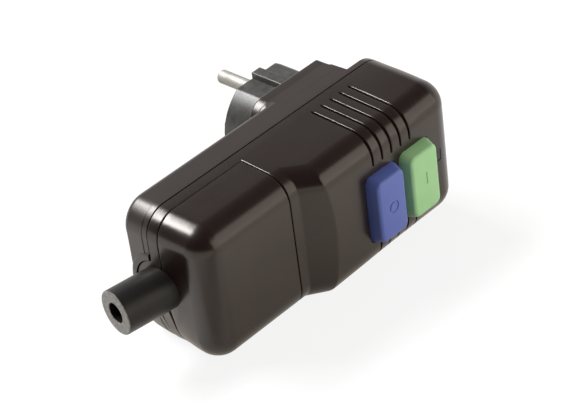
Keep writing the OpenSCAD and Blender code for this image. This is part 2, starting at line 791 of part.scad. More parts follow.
module plunger_spring() {
    h = shoulder_x0 - yoke_x1 - 2 * seat_gap;
    color([0.7, 0.7, 0.72]) at(yoke_x1 + seat_gap, coil_axis_d, 0) rotate([0, 90, 0])
        helix(plunger_r + slide_gap + wire_d / 2, wire_d, 2.5, h);
}

module latch_lever() {
    slot = neck_r + 0.4;
    nose_z = head_r + 0.4;
    x0 = lever_x - lever_t / 2;
    x1 = lever_x + lever_t / 2;
    color([0.85, 0.82, 0.7]) difference() {
        union() {
            box(x0, x1, lever_end, pivot_d, -lever_z, lever_z);
            cross_pin(lever_x, pivot_d, -lever_z, lever_z, barrel_r);
            for (s = [-1, 1]) box(x1 - eps, carrier_x0 - 0.3, nose_d0, nose_d1,
                s > 0 ? nose_z : -lever_z, s > 0 ? lever_z : -nose_z);
        }
        box(x0 - cut, x1 + cut, lever_end - cut, pivot_d - barrel_r, -slot, slot);
        cross_pin(lever_x, pivot_d, -lever_z - cut, lever_z + cut, pivot_r + 0.05);
    }
}

module latch_pin() {
    ear = lever_z + 0.3;
    color([0.7, 0.7, 0.72]) cross_pin(lever_x, pivot_d, -ear - 2, ear + 2, pivot_r);
}

module mechanism_frame() {
    ear = lever_z + 0.3;
    color([0.8, 0.78, 0.72]) difference() {
        union() {
            box(frame_x0, frame_x1, frame_bottom, frame_top, -frame_z, frame_z);
            for (x = [frame_x0, frame_x1 - leg], z = [-frame_z, frame_z - leg])
                box(x, x + leg, deck, frame_bottom + eps, z, z + leg);
            for (z = [-ear - 2, ear]) box(lever_x - 1.9, lever_x + 1.9, pivot_d - 1.6, frame_bottom + eps, z, z + 2);
        }
        for (x = [test_x, reset_x]) post(x, 0, stem_bore, frame_bottom - cut, frame_top + cut);
        box(test_x - prong_w / 2 - 0.4, test_x + prong_w / 2 + 0.4, frame_bottom - cut, frame_top + cut,
            prong_z - prong_w / 2 - 0.4, prong_z + prong_w / 2 + 0.4);
        cross_pin(lever_x, pivot_d, -ear - 3, ear + 3, pivot_r + eps);
    }
}

module contact_carrier() {
    color([0.9, 0.88, 0.8]) difference() {
        box(carrier_x0, carrier_x1, carrier_bottom, carrier_top, -carrier_z, carrier_z);
        post(reset_x, 0, stem_bore, carrier_bottom - cut, carrier_top + cut);
        for (s = [-1, 1]) box(carrier_x0 + 1, carrier_x1 + cut, blade_d - 0.05, blade_d + blade_t + 0.05,
            s * blade_z - blade_w / 2 - 0.05, s * blade_z + blade_w / 2 + 0.05);
    }
}

module moving_contacts() {
    color([0.8, 0.6, 0.35]) for (s = [-1, 1]) {
        box(carrier_x0 + 1.1, contact_x + contact_r + 0.2, blade_d, blade_d + blade_t,
            s * blade_z - blade_w / 2, s * blade_z + blade_w / 2);
        post(contact_x, s * blade_z, contact_r - 0.2, blade_d + blade_t - eps, blade_d + blade_t + contact_t);
    }
}

module fixed_contacts() {
    leg_x = contact_x + contact_r + 1.4;
    t = 0.8;
    color([0.8, 0.6, 0.35]) for (s = [-1, 1]) {
        box(leg_x, leg_x + t, deck, fixed_face + contact_t + t, s * blade_z - 2, s * blade_z + 2);
        box(contact_x - contact_r, leg_x + eps, fixed_face + contact_t, fixed_face + contact_t + t,
            s * blade_z - 2, s * blade_z + 2);
        post(contact_x, s * blade_z, contact_r - 0.2, fixed_face, fixed_face + contact_t + eps);
    }
}

module opening_spring() {
    h = frame_bottom - carrier_top - 2 * seat_gap;
    color([0.7, 0.7, 0.72]) at(reset_x, frame_bottom - seat_gap, 0) rotate([-90, 0, 0])
        helix(spring_r, wire_d, 2.5, h);
}

module indicator_flag() {
    plate = front_d - wall - carrier_travel - 3;
    color([0.75, 0.08, 0.06]) {
        box(carrier_x1 + eps, window_x + 1, blade_d - 0.5, blade_d + 1.3, -1.2, 1.2);
        box(window_x - 1, window_x + 1, blade_d - 0.5, plate, -1.2, 1.2);
        box(window_x - 1.8, window_x + 1.8, plate - eps, plate + 1, window_z - 2.8, window_z + 2.8);
    }
}

module indicator_window() {
    inner = front_d - wall;
    color([0.15, 0.15, 0.17]) {
        box(window_x - window_w / 2, window_x + window_w / 2, inner - window_drop - eps, front_d - 0.2,
            window_z - window_h / 2, window_z + window_h / 2);
        box(window_x - window_w / 2 - window_flange, window_x + window_w / 2 + window_flange,
            inner - window_drop - 0.8, inner - window_drop,
            window_z - window_h / 2 - window_flange, window_z + window_h / 2 + window_flange);
    }
}

// Button cap with a retaining flange and a guide stem
module push_button(x, stem_end) {
    bevel = 0.7;
    button_shape(x, flange_d1 - eps, front_d + button_rise - bevel, 0);
    button_shape(x, front_d + button_rise - bevel - eps, front_d + button_rise, -bevel);
    button_shape(x, flange_d0, flange_d1, button_flange);
    post(x, 0, stem_r, stem_end, flange_d0 + eps);
}
module test_button() {
    color([0.2, 0.22, 0.55]) {
        push_button(test_x, test_stem_end);
        box(test_x - prong_w / 2, test_x + prong_w / 2, prong_end, flange_d0 + eps,
            prong_z - prong_w / 2, prong_z + prong_w / 2);
    }
}
module reset_button() { color([0.35, 0.65, 0.3]) push_button(reset_x, reset_stem_end); }

module button_spring(x) {
    h = flange_d0 - frame_top - 2 * seat_gap;
    color([0.7, 0.7, 0.72]) at(x, flange_d0 - seat_gap, 0) rotate([-90, 0, 0]) helix(spring_r, wire_d, 4, h);
}
module test_spring() { button_spring(test_x); }
module reset_spring() { button_spring(reset_x); }

module test_blade() {
    foot_x = frame_x0 + leg + 1;
    t = 0.4;
    color([0.8, 0.6, 0.35]) {
        box(foot_x, foot_x + 4, deck, deck + t, prong_z - 1.5, prong_z + 1.5);
        box(foot_x, foot_x + t, deck, test_blade_d, prong_z - 1.5, prong_z + 1.5);
        box(foot_x, test_x + 3, test_blade_d - t, test_blade_d, prong_z - 1.5, prong_z + 1.5);
    }
}

module housing_screws() {
    color([0.72, 0.72, 0.74]) for (s = [-1, 1]) {
        screw(near_screw_x, s * screw_z, near_screw_seat, part_d + screw_reach - near_screw_seat);
        screw(far_screw_x, s * screw_z, far_screw_seat, part_d + screw_reach - far_screw_seat);
    }
}

module cover_screws() {
    color([0.72, 0.72, 0.74]) for (s = [-1, 1])
        screw(cover_screw_x, s * cover_screw_z, cover_screw_seat, part_d + screw_reach - cover_screw_seat);
}

rear_shell();
front_housing();
terminal_cover();
plug_insert();
line_pin();
neutral_pin();
earth_strap();
earth_socket();
cable_sleeve();
cable_clamp();
clamp_screws();
terminal_block();
line_terminal();
neutral_terminal();
earth_terminal();
terminal_screws();
line_conductor();
neutral_conductor();
earth_conductor();
circuit_board();
transformer_ring();
coil_yoke();
coil_bobbin();
coil_winding();
trip_plunger();
plunger_spring();
latch_lever();
latch_pin();
mechanism_frame();
contact_carrier();
moving_contacts();
fixed_contacts();
opening_spring();
indicator_flag();
indicator_window();
test_button();
test_spring();
test_blade();
reset_button();
reset_spring();
housing_screws();
cover_screws();
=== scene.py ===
"""Dresses the residual current plug: moulded shells, buttons, cable sleeve, pins and finishes."""

import math

import bmesh
import bpy
from mathutils import Matrix, Vector


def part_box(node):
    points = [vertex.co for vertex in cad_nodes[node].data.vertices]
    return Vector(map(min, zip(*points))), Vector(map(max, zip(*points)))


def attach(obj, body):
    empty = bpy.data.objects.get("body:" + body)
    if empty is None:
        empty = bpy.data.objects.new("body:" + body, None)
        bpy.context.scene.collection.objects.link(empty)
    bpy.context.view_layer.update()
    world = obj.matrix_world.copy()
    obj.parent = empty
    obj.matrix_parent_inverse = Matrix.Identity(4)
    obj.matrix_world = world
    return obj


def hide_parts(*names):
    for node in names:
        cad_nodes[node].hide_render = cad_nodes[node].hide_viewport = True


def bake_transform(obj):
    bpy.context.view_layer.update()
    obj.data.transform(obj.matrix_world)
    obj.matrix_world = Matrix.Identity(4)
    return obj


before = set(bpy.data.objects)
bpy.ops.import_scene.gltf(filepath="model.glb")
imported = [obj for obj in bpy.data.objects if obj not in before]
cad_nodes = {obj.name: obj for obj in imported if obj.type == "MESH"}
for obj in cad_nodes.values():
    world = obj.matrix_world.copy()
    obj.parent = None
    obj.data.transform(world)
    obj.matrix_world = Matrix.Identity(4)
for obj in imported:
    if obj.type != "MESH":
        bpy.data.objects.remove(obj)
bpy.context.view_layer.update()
scene = bpy.context.scene

# Sizes are in millimetres. Depth runs from the plug face towards the buttons, against Y.
MM = 0.001

# Moulded body
DRAFT = math.radians(3)
BODY_WIDTH = 50.4
CABLE_END = -86.6
FAR_END = 22.3
PART_DEPTH = 36.5
BAND_DEPTH = 40.6
COVER_DEPTH = 59.7
FRONT_DEPTH = 65.1
BACK_DEPTH = 24.7
RIM_DEPTH = 33.6
RIM_STEP = 0.18
PLATFORM_DEPTH = 20.7
SEAM_X = -48.5
SLOPE_FOOT_X = -44.6
SLOPE_TOP_X = -36.4
EDGE_R = 8.4
CABLE_CORNER_R = 8.4
FAR_CORNER_R = 8.0
BACK_EDGE_R = 3.0
WALL = 2.2
SEAT_GAP = 0.1
LINE_GAP = 0.2
LIP_IN = 0.9
CORNER_TUCK = 2.4
SEAM_GAP = 0.22
HUMP_CABLE = -25.5
HUMP_FAR = 8.4
HUMP_CORNER_R = 7.5
HUMP_EDGE_R = 0.8
HUMP_FOOT_R = 0.9
COLLAR_R = 21.0
ARC_STEPS = 10
END_REACH = 16.0
END_EASE = 14.0
FAR_LEAN = 0.1
FAR_CROWN = 0.3
LOWER_DRAW = 0.9
UPPER_PUSH = 0.6
RIM_EDGE_R = 0.6
LINE_BREAK = 0.16

# Lower corner of the cable end: where it starts to tuck in and over what distance, as x, z and depth
TUCK_START = (-78.5, -9.0, 53.0)
TUCK_OVER = (7.0, 11.0, 15.0)

# Plug insert and pins
INSERT_R = 18.0
INSERT_FLAT = 15.6
RIB_HALF = 2.15
RIB_TOP = 17.8
FLANGE_R = 19.1
FLANGE_DEPTHS = (23.0, 25.4)
WELL_R = 19.3
PIN_Z = 9.5
EARTH_HOLE_X = 10.0
EARTH_HOLE_R = 2.6
CLIP_SLOT_X = (15.4, 20.0)
PIN_LENGTH = 19.0
PIN_SHOWN = 17.4

# Cable sleeve
SLEEVE_TILT = math.radians(9)
SLEEVE_DEPTH = 39.0
SLEEVE_R = 7.4
SLEEVE_BORE_R = 3.4
SLEEVE_OUT = 16.7
SLEEVE_IN = 5.2
TONGUE_R = 9.6
BOSS_RING_R = 12.0
BOSS_RING_OUT = 0.45
SLEEVE_FIT = 0.03
SLEEVE_CUT = (-9, 12)

# Button caps and their guide stems
BUTTON_HALF_W = 7.15
BUTTON_HALF_H = 12.2
BUTTON_SHIFT_Z = -1.6
BUTTON_TAPER = 0.75
BUTTON_CORNER_R = 2.4
BUTTON_EDGE_R = 1.4
BUTTON_TOP = 69.6
BUTTON_FLANGE = (61.2, 62.4)
BUTTON_GAP = 0.3
TEST_X = -15.8
RESET_X = 1.1
CAP_SHIFT_X = {TEST_X: 1.8, RESET_X: 1.0}
STEM_R = 2.5
TEST_STEM_END = 54.4
RESET_STEM_END = 43.0
PRONG_END = 52.9
PRONG_Z = 9.5
MARK_DEPTHS = (BUTTON_TOP - 0.3, BUTTON_TOP + 1)

# Vent grooves
GROOVE_X = -16.6
GROOVE_PITCH = 4.35
GROOVE_COUNT = 5
GROOVE_DEPTH = 0.9
GROOVE_END_Z = 13.6

# Screws at the back, each as x, z and the depth of its head's seat
SCREWS_COVER = [(-77.6, side * 16.2, 29.5) for side in (1, -1)]
SCREWS_HOUSING = [(x, side * 19.4, seat) for x, seat in ((-42.5, 29.5), (16.0, 35.4)) for side in (1, -1)]
SCREW_HEAD_R = 2.6
SCREW_HEAD_T = 1.4
SCREW_RECESS_R = 2.9
SCREW_BOSS_R = 4.4

# Floor: reach in metres, share left to light and shadow, and the painted light that gloss sees added beside
# each end
FLOOR_REACH = 4.0
FLOOR_SHADE = 0.16
FAR_GLOW = 0.14
CABLE_GLOW = 0.12


# Mesh helpers

def place(x, depth, z):
    """A point of the object's own frame in metres, from its place in millimetres."""
    return Vector((x * MM, -depth * MM, z * MM))


def add_object(name, mesh):
    obj = bpy.data.objects.new(name, mesh)
    scene.collection.objects.link(obj)
    return obj


def close_up(mesh):
    """Merges doubles and turns every face outwards."""
    work = bmesh.new()
    work.from_mesh(mesh)
    bmesh.ops.remove_doubles(work, verts=work.verts, dist=0.004 * MM)
    bmesh.ops.dissolve_degenerate(work, edges=work.edges, dist=0.002 * MM)
    bmesh.ops.recalc_face_normals(work, faces=work.faces)
    work.to_mesh(mesh)
    work.free()


def skin(name, rings, closed_path=False):
    """A closed solid through rings of (x, depth, z) points that all have the same count."""
    count = len(rings[0])
    points = [place(*p) for ring in rings for p in ring]
    faces = []
    spans = len(rings) if closed_path else len(rings) - 1
    for i in range(spans):
        a = i * count
        b = (i + 1) % len(rings) * count
        for j in range(count):
            k = (j + 1) % count
            faces.append((a + j, a + k, b + k, b + j))
    if not closed_path:
        faces.append(tuple(range(count)))
        faces.append(tuple(range((len(rings) - 1) * count, len(rings) * count)))
    mesh = bpy.data.meshes.new(name)
    mesh.from_pydata(points, [], faces)
    close_up(mesh)
    return add_object(name, mesh)


def bake(obj):
    """Turns an object's modifiers into plain mesh."""
    graph = bpy.context.evaluated_depsgraph_get()
    mesh = bpy.data.meshes.new_from_object(obj.evaluated_get(graph))
    obj.modifiers.clear()
    old = obj.data
    obj.data = mesh
    bpy.data.meshes.remove(old)


def shape_with(obj, others, operation):
    """Joins other solids to obj or cuts them away, one after the other."""
    for other in others:
        step = obj.modifiers.new("shape", "BOOLEAN")
        step.solver = "EXACT"
        step.operation = operation
        step.object = other
    bake(obj)
    for other in others:
        mesh = other.data
        bpy.data.objects.remove(other)
        bpy.data.meshes.remove(mesh)


def break_edges(obj, width, chosen, segments=3, angle=30):
    """Rounds those hard edges of a plain solid whose two ends, in millimetres, are chosen."""
    work = bmesh.new()
    work.from_mesh(obj.data)
    edges = []
    for edge in work.edges:
        ends = [(v.co.x / MM, -v.co.y / MM, v.co.z / MM) for v in edge.verts]
        if edge.calc_face_angle(0.0) > math.radians(angle) and all(chosen(*p) for p in ends):
            edges.append(edge)
    bmesh.ops.bevel(work, geom=edges, offset=width * MM, offset_type="OFFSET", segments=segments, profile=0.5,
                    affect="EDGES", clamp_overlap=False)
    work.to_mesh(obj.data)
    work.free()


def at_depth(level):
    """Chooser for edges that lie at one depth."""
    return lambda x, depth, z: abs(depth - level) < 0.01


def at_x(level):
    """Chooser for edges that lie at one place along the body."""
    return lambda x, depth, z: abs(x - level) < 0.01


def finish_mesh(obj, width, segments=2, angle=35, sharp=40):
    """Breaks the hard edges by a small rounding and shades the rest smooth."""
    close_up(obj.data)
    if width:
        step = obj.modifiers.new("edge break", "BEVEL")
        step.limit_method = "ANGLE"
        step.angle_limit = math.radians(angle)
        step.width = width * MM
        step.segments = segments
        step.use_clamp_overlap = True
        step.harden_normals = False
    bake(obj)
    mesh = obj.data
    for polygon in mesh.polygons:
        polygon.use_smooth = True
    mesh.set_sharp_from_angle(angle=math.radians(sharp))
    step = obj.modifiers.new("flat faces stay flat", "WEIGHTED_NORMAL")
    step.keep_sharp = True
    step.weight = 80
    bake(obj)


def rounded_plan(x0, x1, half_z, r0, r1, steps=8):
    """Closed plan outline as (x, z), with corner radius r0 at x0 and r1 at x1."""
    points = []
    for cx, cz, r, start in ((x1 - r1, half_z - r1, r1, 0), (x0 + r0, half_z - r0, r0, 90),
                             (x0 + r0, -half_z + r0, r0, 180), (x1 - r1, -half_z + r1, r1, 270)):
        for k in range(steps + 1):
            a = math.radians(start + 90 * k / steps)
            points.append((cx + r * math.cos(a), cz + r * math.sin(a)))
    return points


def at_level(plan, depth):
    """A plan outline of (x, z) points set at one depth."""
    return [(x, depth, z) for x, z in plan]


def circle(radius, steps):
    """Pairs of points evenly round a circle."""
    turns = [2 * math.pi * k / steps for k in range(steps)]
    return [(radius * math.cos(a), radius * math.sin(a)) for a in turns]


def plan_block(name, levels, steps=8):
    """A solid through plan outlines. Each level is depth, x0, x1, half width, r0, r1."""
    return skin(name, [at_level(rounded_plan(*sizes, steps), depth) for depth, *sizes in levels])


def round_block(name, x, z, profile, steps=64):
    """A turned solid along the depth. The profile is a list of (radius, depth)."""
    rings = [[(x + a, depth, z + b) for a, b in circle(radius, steps)] for radius, depth in profile]
    return skin(name, rings)


def quarter(radius, steps):
    """Pairs (inset, height) of a rounded edge, from the wall up to the top."""
    turns = [math.radians(90 * k / steps) for k in range(steps + 1)]
    return [(radius * (1 - math.cos(a)), radius * math.sin(a)) for a in turns]


# The moulded body's section and plan

def lean_at(depth):
    """How far the drafted walls have drawn in at a depth."""
    return abs(depth - PART_DEPTH) * math.tan(DRAFT)


def half_width(depth):
    return BODY_WIDTH / 2 - lean_at(depth)


def ease(t):
    t = min(max(t, 0.0), 1.0)
    return t * t * (3 - 2 * t)


def pull_ends(x, depth, z):
    """Draws both ends in with the depth, as moulded walls are, and crowns the far end a little."""
    lean = lean_at(depth)
    far = ease((x - FAR_END + END_REACH) / END_EASE)
    near = ease((CABLE_END + END_REACH - x) / END_EASE)
    crown = FAR_CROWN * (z / BODY_WIDTH * 2) ** 2
    return x - far * (lean * FAR_LEAN + crown) + near * lean, depth, z


def lower_draft(x, depth, z):
    """Draws the lower side in towards the button face and lets the far upper side stand upright."""
    share = ease((depth - 42) / 18) * ease((x + 42) / 40) * ease(-z / 20)
    upright = ease((depth - 36) / 14) * ease((x - 4) / 10) * ease(z / 20)
    return x, depth, z + LOWER_DRAW * share + UPPER_PUSH * upright


def front_edge(front, radius):
    """Middle of the rounded front edge, as z and depth, and the point where the drafted side meets it."""
    depth = front - EDGE_R
    z = half_width(depth) - EDGE_R / math.cos(DRAFT)
    return z, depth, (z + radius * math.cos(DRAFT), depth + radius * math.sin(DRAFT))


def body_ring(x, front, foot, inset):
    """One closed section of the front mouldings: drafted sides, rounded front edges, flat foot."""
    radius = max(EDGE_R - inset, 0.01)
    centre_z, centre_d, start = front_edge(front, radius)
    foot_z = half_width(foot) - inset / math.cos(DRAFT)
    half = []
    for k in range(4):
        t = k / 4
        half.append((foot_z + (start[0] - foot_z) * t, foot + (start[1] - foot) * t))
    for k in range(ARC_STEPS + 1):
        a = DRAFT + (math.pi / 2 - DRAFT) * k / ARC_STEPS
        half.append((centre_z + radius * math.cos(a), centre_d + radius * math.sin(a)))
    half.append((centre_z / 2, front - inset))
    ring = half + [(0.0, front - inset)] + [(-z, d) for z, d in reversed(half)]
    return [(x, d, z) for z, d in ring]


def slope_profile():
    """Front depth along the body from the seam to the button face, with both bends rounded."""
    corners = [((SEAM_X, COVER_DEPTH), 0), ((SLOPE_FOOT_X, COVER_DEPTH), 1.6),
               ((SLOPE_TOP_X, FRONT_DEPTH), 1.6), ((-30.0, FRONT_DEPTH), 0)]
    profile = [corners[0][0]]
    for i in (1, 2):
        (px, pd), radius = corners[i]
        before = Vector(corners[i - 1][0]) - Vector((px, pd))
        after = Vector(corners[i + 1][0]) - Vector((px, pd))
        turn = math.pi - before.angle(after)
        reach = radius * math.tan(turn / 2)
        a = Vector((px, pd)) + before.normalized() * reach
        b = Vector((px, pd)) + after.normalized() * reach
        for k in range(5):
            t = k / 4
            profile.append(tuple(a * (1 - t) ** 2 + Vector((px, pd)) * 2 * t * (1 - t) + b * t * t))
    return profile


def slope_bow(x, depth, z):
    """Bows the top of the slope forward in the middle of the body."""
    rise = ease((x - SLOPE_FOOT_X + 1) / (SLOPE_TOP_X - SLOPE_FOOT_X)) * ease((-26.0 - x) / 9)
    return x + rise * (0.7 - 0.0075 * min(abs(z), 18.0) ** 2), depth, z


def end_cap(ring, levels=(0.8, 0.55, 0.3)):
    """Rings that close an end face towards its middle."""
    depth = sum(p[1] for p in ring) / len(ring)
    return [[(p[0], depth + (p[1] - depth) * s, p[2] * s) for p in ring] for s in levels]


def end_turn(end, corner, way, front, foot, inset):
    """Sections round one end of the body, and its closing rings. The way is 1 far, -1 at the cable."""
    reach = corner - inset
    rings = []
    for k in range(ARC_STEPS + 1):
        a = math.pi / 2 * k / ARC_STEPS
        x = end - way * corner + way * reach * math.sin(a)
        rings.append(body_ring(x, front, foot, inset + reach * (1 - math.cos(a))))
    return rings + end_cap(rings[-1])


def button_body(name, inset, start_x, foot):
    """The front moulding with slope, button face and rounded far end, drawn in by inset."""
    rings = []
    for x, front in slope_profile():
        if x >= start_x:
            rings.append([slope_bow(*p) for p in body_ring(x, front, foot, inset)])
    if not rings or rings[0][0][0] > start_x + 0.01:
        rings.insert(0, body_ring(start_x, COVER_DEPTH, foot, inset))
    for x in (-26.0, -21.0, -14.0, -7.0, 0.0, 7.0):
        rings.append(body_ring(x, FRONT_DEPTH, foot, inset))
    rings += end_turn(FAR_END, FAR_CORNER_R, 1, FRONT_DEPTH, foot, inset)
    return skin(name, [[pull_ends(*lower_draft(*p)) for p in ring] for ring in rings])


def cover_body(name, inset, start_x, foot):
    """The terminal cover from the seam to its rounded cable end, drawn in by inset."""
    rings = [body_ring(x, COVER_DEPTH, foot, inset) for x in (start_x, -54.0, -60.0, -66.0, -71.0)]
    rings += end_turn(CABLE_END, CABLE_CORNER_R, -1, COVER_DEPTH, foot, inset)
    return skin(name, [[pull_ends(*p) for p in ring] for ring in rings])


def sleeve_axis(along, radius, angle):
    """A point round the cable sleeve: distance out of the end face, radius and angle."""
    out = Vector((-math.cos(SLEEVE_TILT), math.sin(SLEEVE_TILT), 0))
    side = Vector((math.sin(SLEEVE_TILT), math.cos(SLEEVE_TILT), 0))
    p = Vector((CABLE_END, -SLEEVE_DEPTH, 0)) + out * along
    p += side * radius * math.cos(angle) + Vector((0, 0, 1)) * radius * math.sin(angle)
    return p.x, -p.y, p.z


def sleeve_turn(name, profile, closed=False, steps=72):
    """A turned solid on the sleeve's axis. The profile is a list of (radius, distance out)."""
    rings = [[sleeve_axis(s, r, 2 * math.pi * k / steps) for k in range(steps)] for r, s in profile]
    return skin(name, rings, closed_path=closed)


def sleeve_cutter(name):
    """What the sleeve's seat takes out of a moulding."""
    return sleeve_turn(name, [(SLEEVE_R + SLEEVE_FIT, along) for along in SLEEVE_CUT])


def end_boss(name, radius, low, high, out, inner_x, edge):
    """A round boss at the sleeve's root between two depths, out by out(depth), with a rounded edge."""
    rings = []
    for k in range(25):
        depth = low + (high - low) * k / 24
        half = math.sqrt(max(radius ** 2 - (SLEEVE_DEPTH - depth) ** 2, 0.3))
        face = CABLE_END - out(depth)
        r = min(edge, half * 0.8)
        ring = [(inner_x, depth, -half)]
        for side in (-1, 1):
            for j in range(6):
                a = math.radians(90 * (j if side < 0 else 5 - j) / 5)
                ring.append((face + r * (1 - math.sin(a)), depth, side * (half - r * (1 - math.cos(a)))))
        ring.append((inner_x, depth, half))
        rings.append(ring)
    return skin(name, rings)


def end_shaft(name, radius, x0, x1, steps=72):
    """A cylinder along X at the sleeve's root."""
    return skin(name, [[(x, SLEEVE_DEPTH + a, b) for a, b in circle(radius, steps)] for x in (x0, x1)])


# Node helpers

def feed(tree, socket, value):
    """Links a socket to another one, or sets it to a plain value."""
    if isinstance(value, bpy.types.NodeSocket):
        tree.links.new(value, socket)
    else:
        socket.default_value = value


def blend_math(tree, operation, a, b):
    node = tree.nodes.new("ShaderNodeMath")
    node.operation = operation
    for slot, value in enumerate((a, b)):
        feed(tree, node.inputs[slot], value)
    return node.outputs[0]


def product(tree, first, *others):
    """Multiplies sockets and numbers together."""
    for other in others:
        first = blend_math(tree, "MULTIPLY", first, other)
    return first


def axes(tree, vector):
    """The X, Y and Z of a vector, as sockets."""
    node = tree.nodes.new("ShaderNodeSeparateXYZ")
    tree.links.new(vector, node.inputs["Vector"])
    return node.outputs


def share_along(tree, vector, way):
    """How far a vector reaches along a fixed direction."""
    node = tree.nodes.new("ShaderNodeVectorMath")
    node.operation = "DOT_PRODUCT"
    node.inputs[1].default_value = way
    tree.links.new(vector, node.inputs[0])
    return node.outputs["Value"]


# Repeating features by geometry nodes

def start_tree(name, sockets):
    """A geometry tree with a geometry input and output, and named inputs as (name, type, value)."""
    tree = bpy.data.node_groups.new(name, "GeometryNodeTree")
    tree.interface.new_socket("Geometry", in_out="INPUT", socket_type="NodeSocketGeometry")
    for label, kind, value in sockets:
        socket = tree.interface.new_socket(label, in_out="INPUT", socket_type=kind)
        if value is not None:
            socket.default_value = value
    tree.interface.new_socket("Geometry", in_out="OUTPUT", socket_type="NodeSocketGeometry")
    return tree, tree.nodes.new("NodeGroupInput"), tree.nodes.new("NodeGroupOutput")


def run_tree(obj, tree, values):
    """Puts the tree on obj, sets its inputs by identifier and turns the result into plain mesh."""
    step = obj.modifiers.new(tree.name, "NODES")
    step.node_group = tree
    for item in tree.interface.items_tree:
        if item.in_out == "INPUT" and item.name in values:
            step[item.identifier] = values[item.name]
    bake(obj)


def spread_out(tree, given, result, points, piece):
    """Sets a copy of a piece at every point, gives it the finish and puts it out as plain mesh."""
    new, link = tree.nodes.new, tree.links.new
    spread = new("GeometryNodeInstanceOnPoints")
    real = new("GeometryNodeRealizeInstances")
    finish = new("GeometryNodeSetMaterial")
    link(points, spread.inputs["Points"])
    link(piece, spread.inputs["Instance"])
    link(spread.outputs["Instances"], real.inputs["Geometry"])
    link(real.outputs["Geometry"], finish.inputs["Geometry"])
    link(given.outputs["Finish"], finish.inputs["Material"])
    link(finish.outputs["Geometry"], result.inputs["Geometry"])
    return tree


def groove_row_tree():
    """A row of grooves on both sides of the body, from one groove cutter."""
    tree, given, result = start_tree("vent groove row", [
        ("Count", "NodeSocketInt", 5), ("Pitch", "NodeSocketFloat", 0.004),
        ("Finish", "NodeSocketMaterial", None)])
    new, link = tree.nodes.new, tree.links.new
    mirror = new("GeometryNodeTransform")
    mirror.inputs["Scale"].default_value = (1, 1, -1)
    flip = new("GeometryNodeFlipFaces")
    pair = new("GeometryNodeJoinGeometry")
    row = new("GeometryNodeMeshLine")
    row.mode = "OFFSET"
    step = new("ShaderNodeCombineXYZ")
    link(given.outputs["Geometry"], mirror.inputs["Geometry"])
    link(mirror.outputs["Geometry"], flip.inputs["Mesh"])
    link(flip.outputs["Mesh"], pair.inputs["Geometry"])
    link(given.outputs["Geometry"], pair.inputs["Geometry"])
    link(given.outputs["Count"], row.inputs["Count"])
    link(given.outputs["Pitch"], step.inputs["X"])
    link(step.outputs["Vector"], row.inputs["Offset"])
    return spread_out(tree, given, result, row.outputs["Mesh"], pair.outputs["Geometry"])


def screw_tree():
    """Cross-head screws standing at the points of the input, heads towards +Y."""
    tree, given, result = start_tree("cross head screws", [
        ("Head Radius", "NodeSocketFloat", 0.0026), ("Head Height", "NodeSocketFloat", 0.0014),
        ("Shank Radius", "NodeSocketFloat", 0.0015), ("Shank Length", "NodeSocketFloat", 0.02),
        ("Slot Width", "NodeSocketFloat", 0.0007), ("Finish", "NodeSocketMaterial", None)])
    new, link = tree.nodes.new, tree.links.new

    def lift(geometry, height):
        move = new("GeometryNodeTransform")
        up = new("ShaderNodeCombineXYZ")
        link(height, up.inputs["Z"])
        link(up.outputs["Vector"], move.inputs["Translation"])
        link(geometry, move.inputs["Geometry"])
        return move.outputs["Geometry"]

    height, radius = given.outputs["Head Height"], given.outputs["Head Radius"]
    lower = new("GeometryNodeMeshCylinder")
    lower.inputs["Vertices"].default_value = 40
    link(radius, lower.inputs["Radius"])
    link(product(tree, height, 0.6), lower.inputs["Depth"])
    dome = new("GeometryNodeMeshCone")
    dome.inputs["Vertices"].default_value = 40
    link(radius, dome.inputs["Radius Bottom"])
    link(product(tree, radius, 0.72), dome.inputs["Radius Top"])
    link(product(tree, height, 0.4), dome.inputs["Depth"])
    shank = new("GeometryNodeMeshCylinder")
    shank.inputs["Vertices"].default_value = 24
    link(given.outputs["Shank Radius"], shank.inputs["Radius"])
    link(given.outputs["Shank Length"], shank.inputs["Depth"])
    stack = new("GeometryNodeMeshBoolean")
    stack.operation = "UNION"
    link(lift(lower.outputs["Mesh"], product(tree, height, 0.3)), stack.inputs["Mesh 2"])
    link(lift(dome.outputs["Mesh"], product(tree, height, 0.6)), stack.inputs["Mesh 2"])
    link(lift(shank.outputs["Mesh"], product(tree, given.outputs["Shank Length"], -0.499)),
         stack.inputs["Mesh 2"])
    cross = new("GeometryNodeMeshBoolean")
    cross.operation = "DIFFERENCE"
    link(stack.outputs["Mesh"], cross.inputs["Mesh 1"])
    for turned in (0, 1):
        bar = new("GeometryNodeMeshCube")
        size = new("ShaderNodeCombineXYZ")
        link(product(tree, radius, 1.15), size.inputs["Y" if turned else "X"])
        link(given.outputs["Slot Width"], size.inputs["X" if turned else "Y"])
        link(product(tree, height, 1.2), size.inputs["Z"])
        link(size.outputs["Vector"], bar.inputs["Size"])
        link(lift(bar.outputs["Mesh"], product(tree, height, 1.05)), cross.inputs["Mesh 2"])
    lay = new("GeometryNodeTransform")
    lay.inputs["Rotation"].default_value = (math.radians(-90), 0, 0)
    link(cross.outputs["Mesh"], lay.inputs["Geometry"])
    return spread_out(tree, given, result, given.outputs["Geometry"], lay.outputs["Geometry"])


# Finishes

def shader_group(name, inputs, outputs):
    """A shader group with named sockets given as (name, type, value) and (name, type)."""
    tree = bpy.data.node_groups.new(name, "ShaderNodeTree")
    for label, kind, value in inputs:
        tree.interface.new_socket(label, in_out="INPUT", socket_type=kind).default_value = value
    for label, kind in outputs:
        tree.interface.new_socket(label, in_out="OUTPUT", socket_type=kind)
    return tree, tree.nodes.new("NodeGroupInput"), tree.nodes.new("NodeGroupOutput")


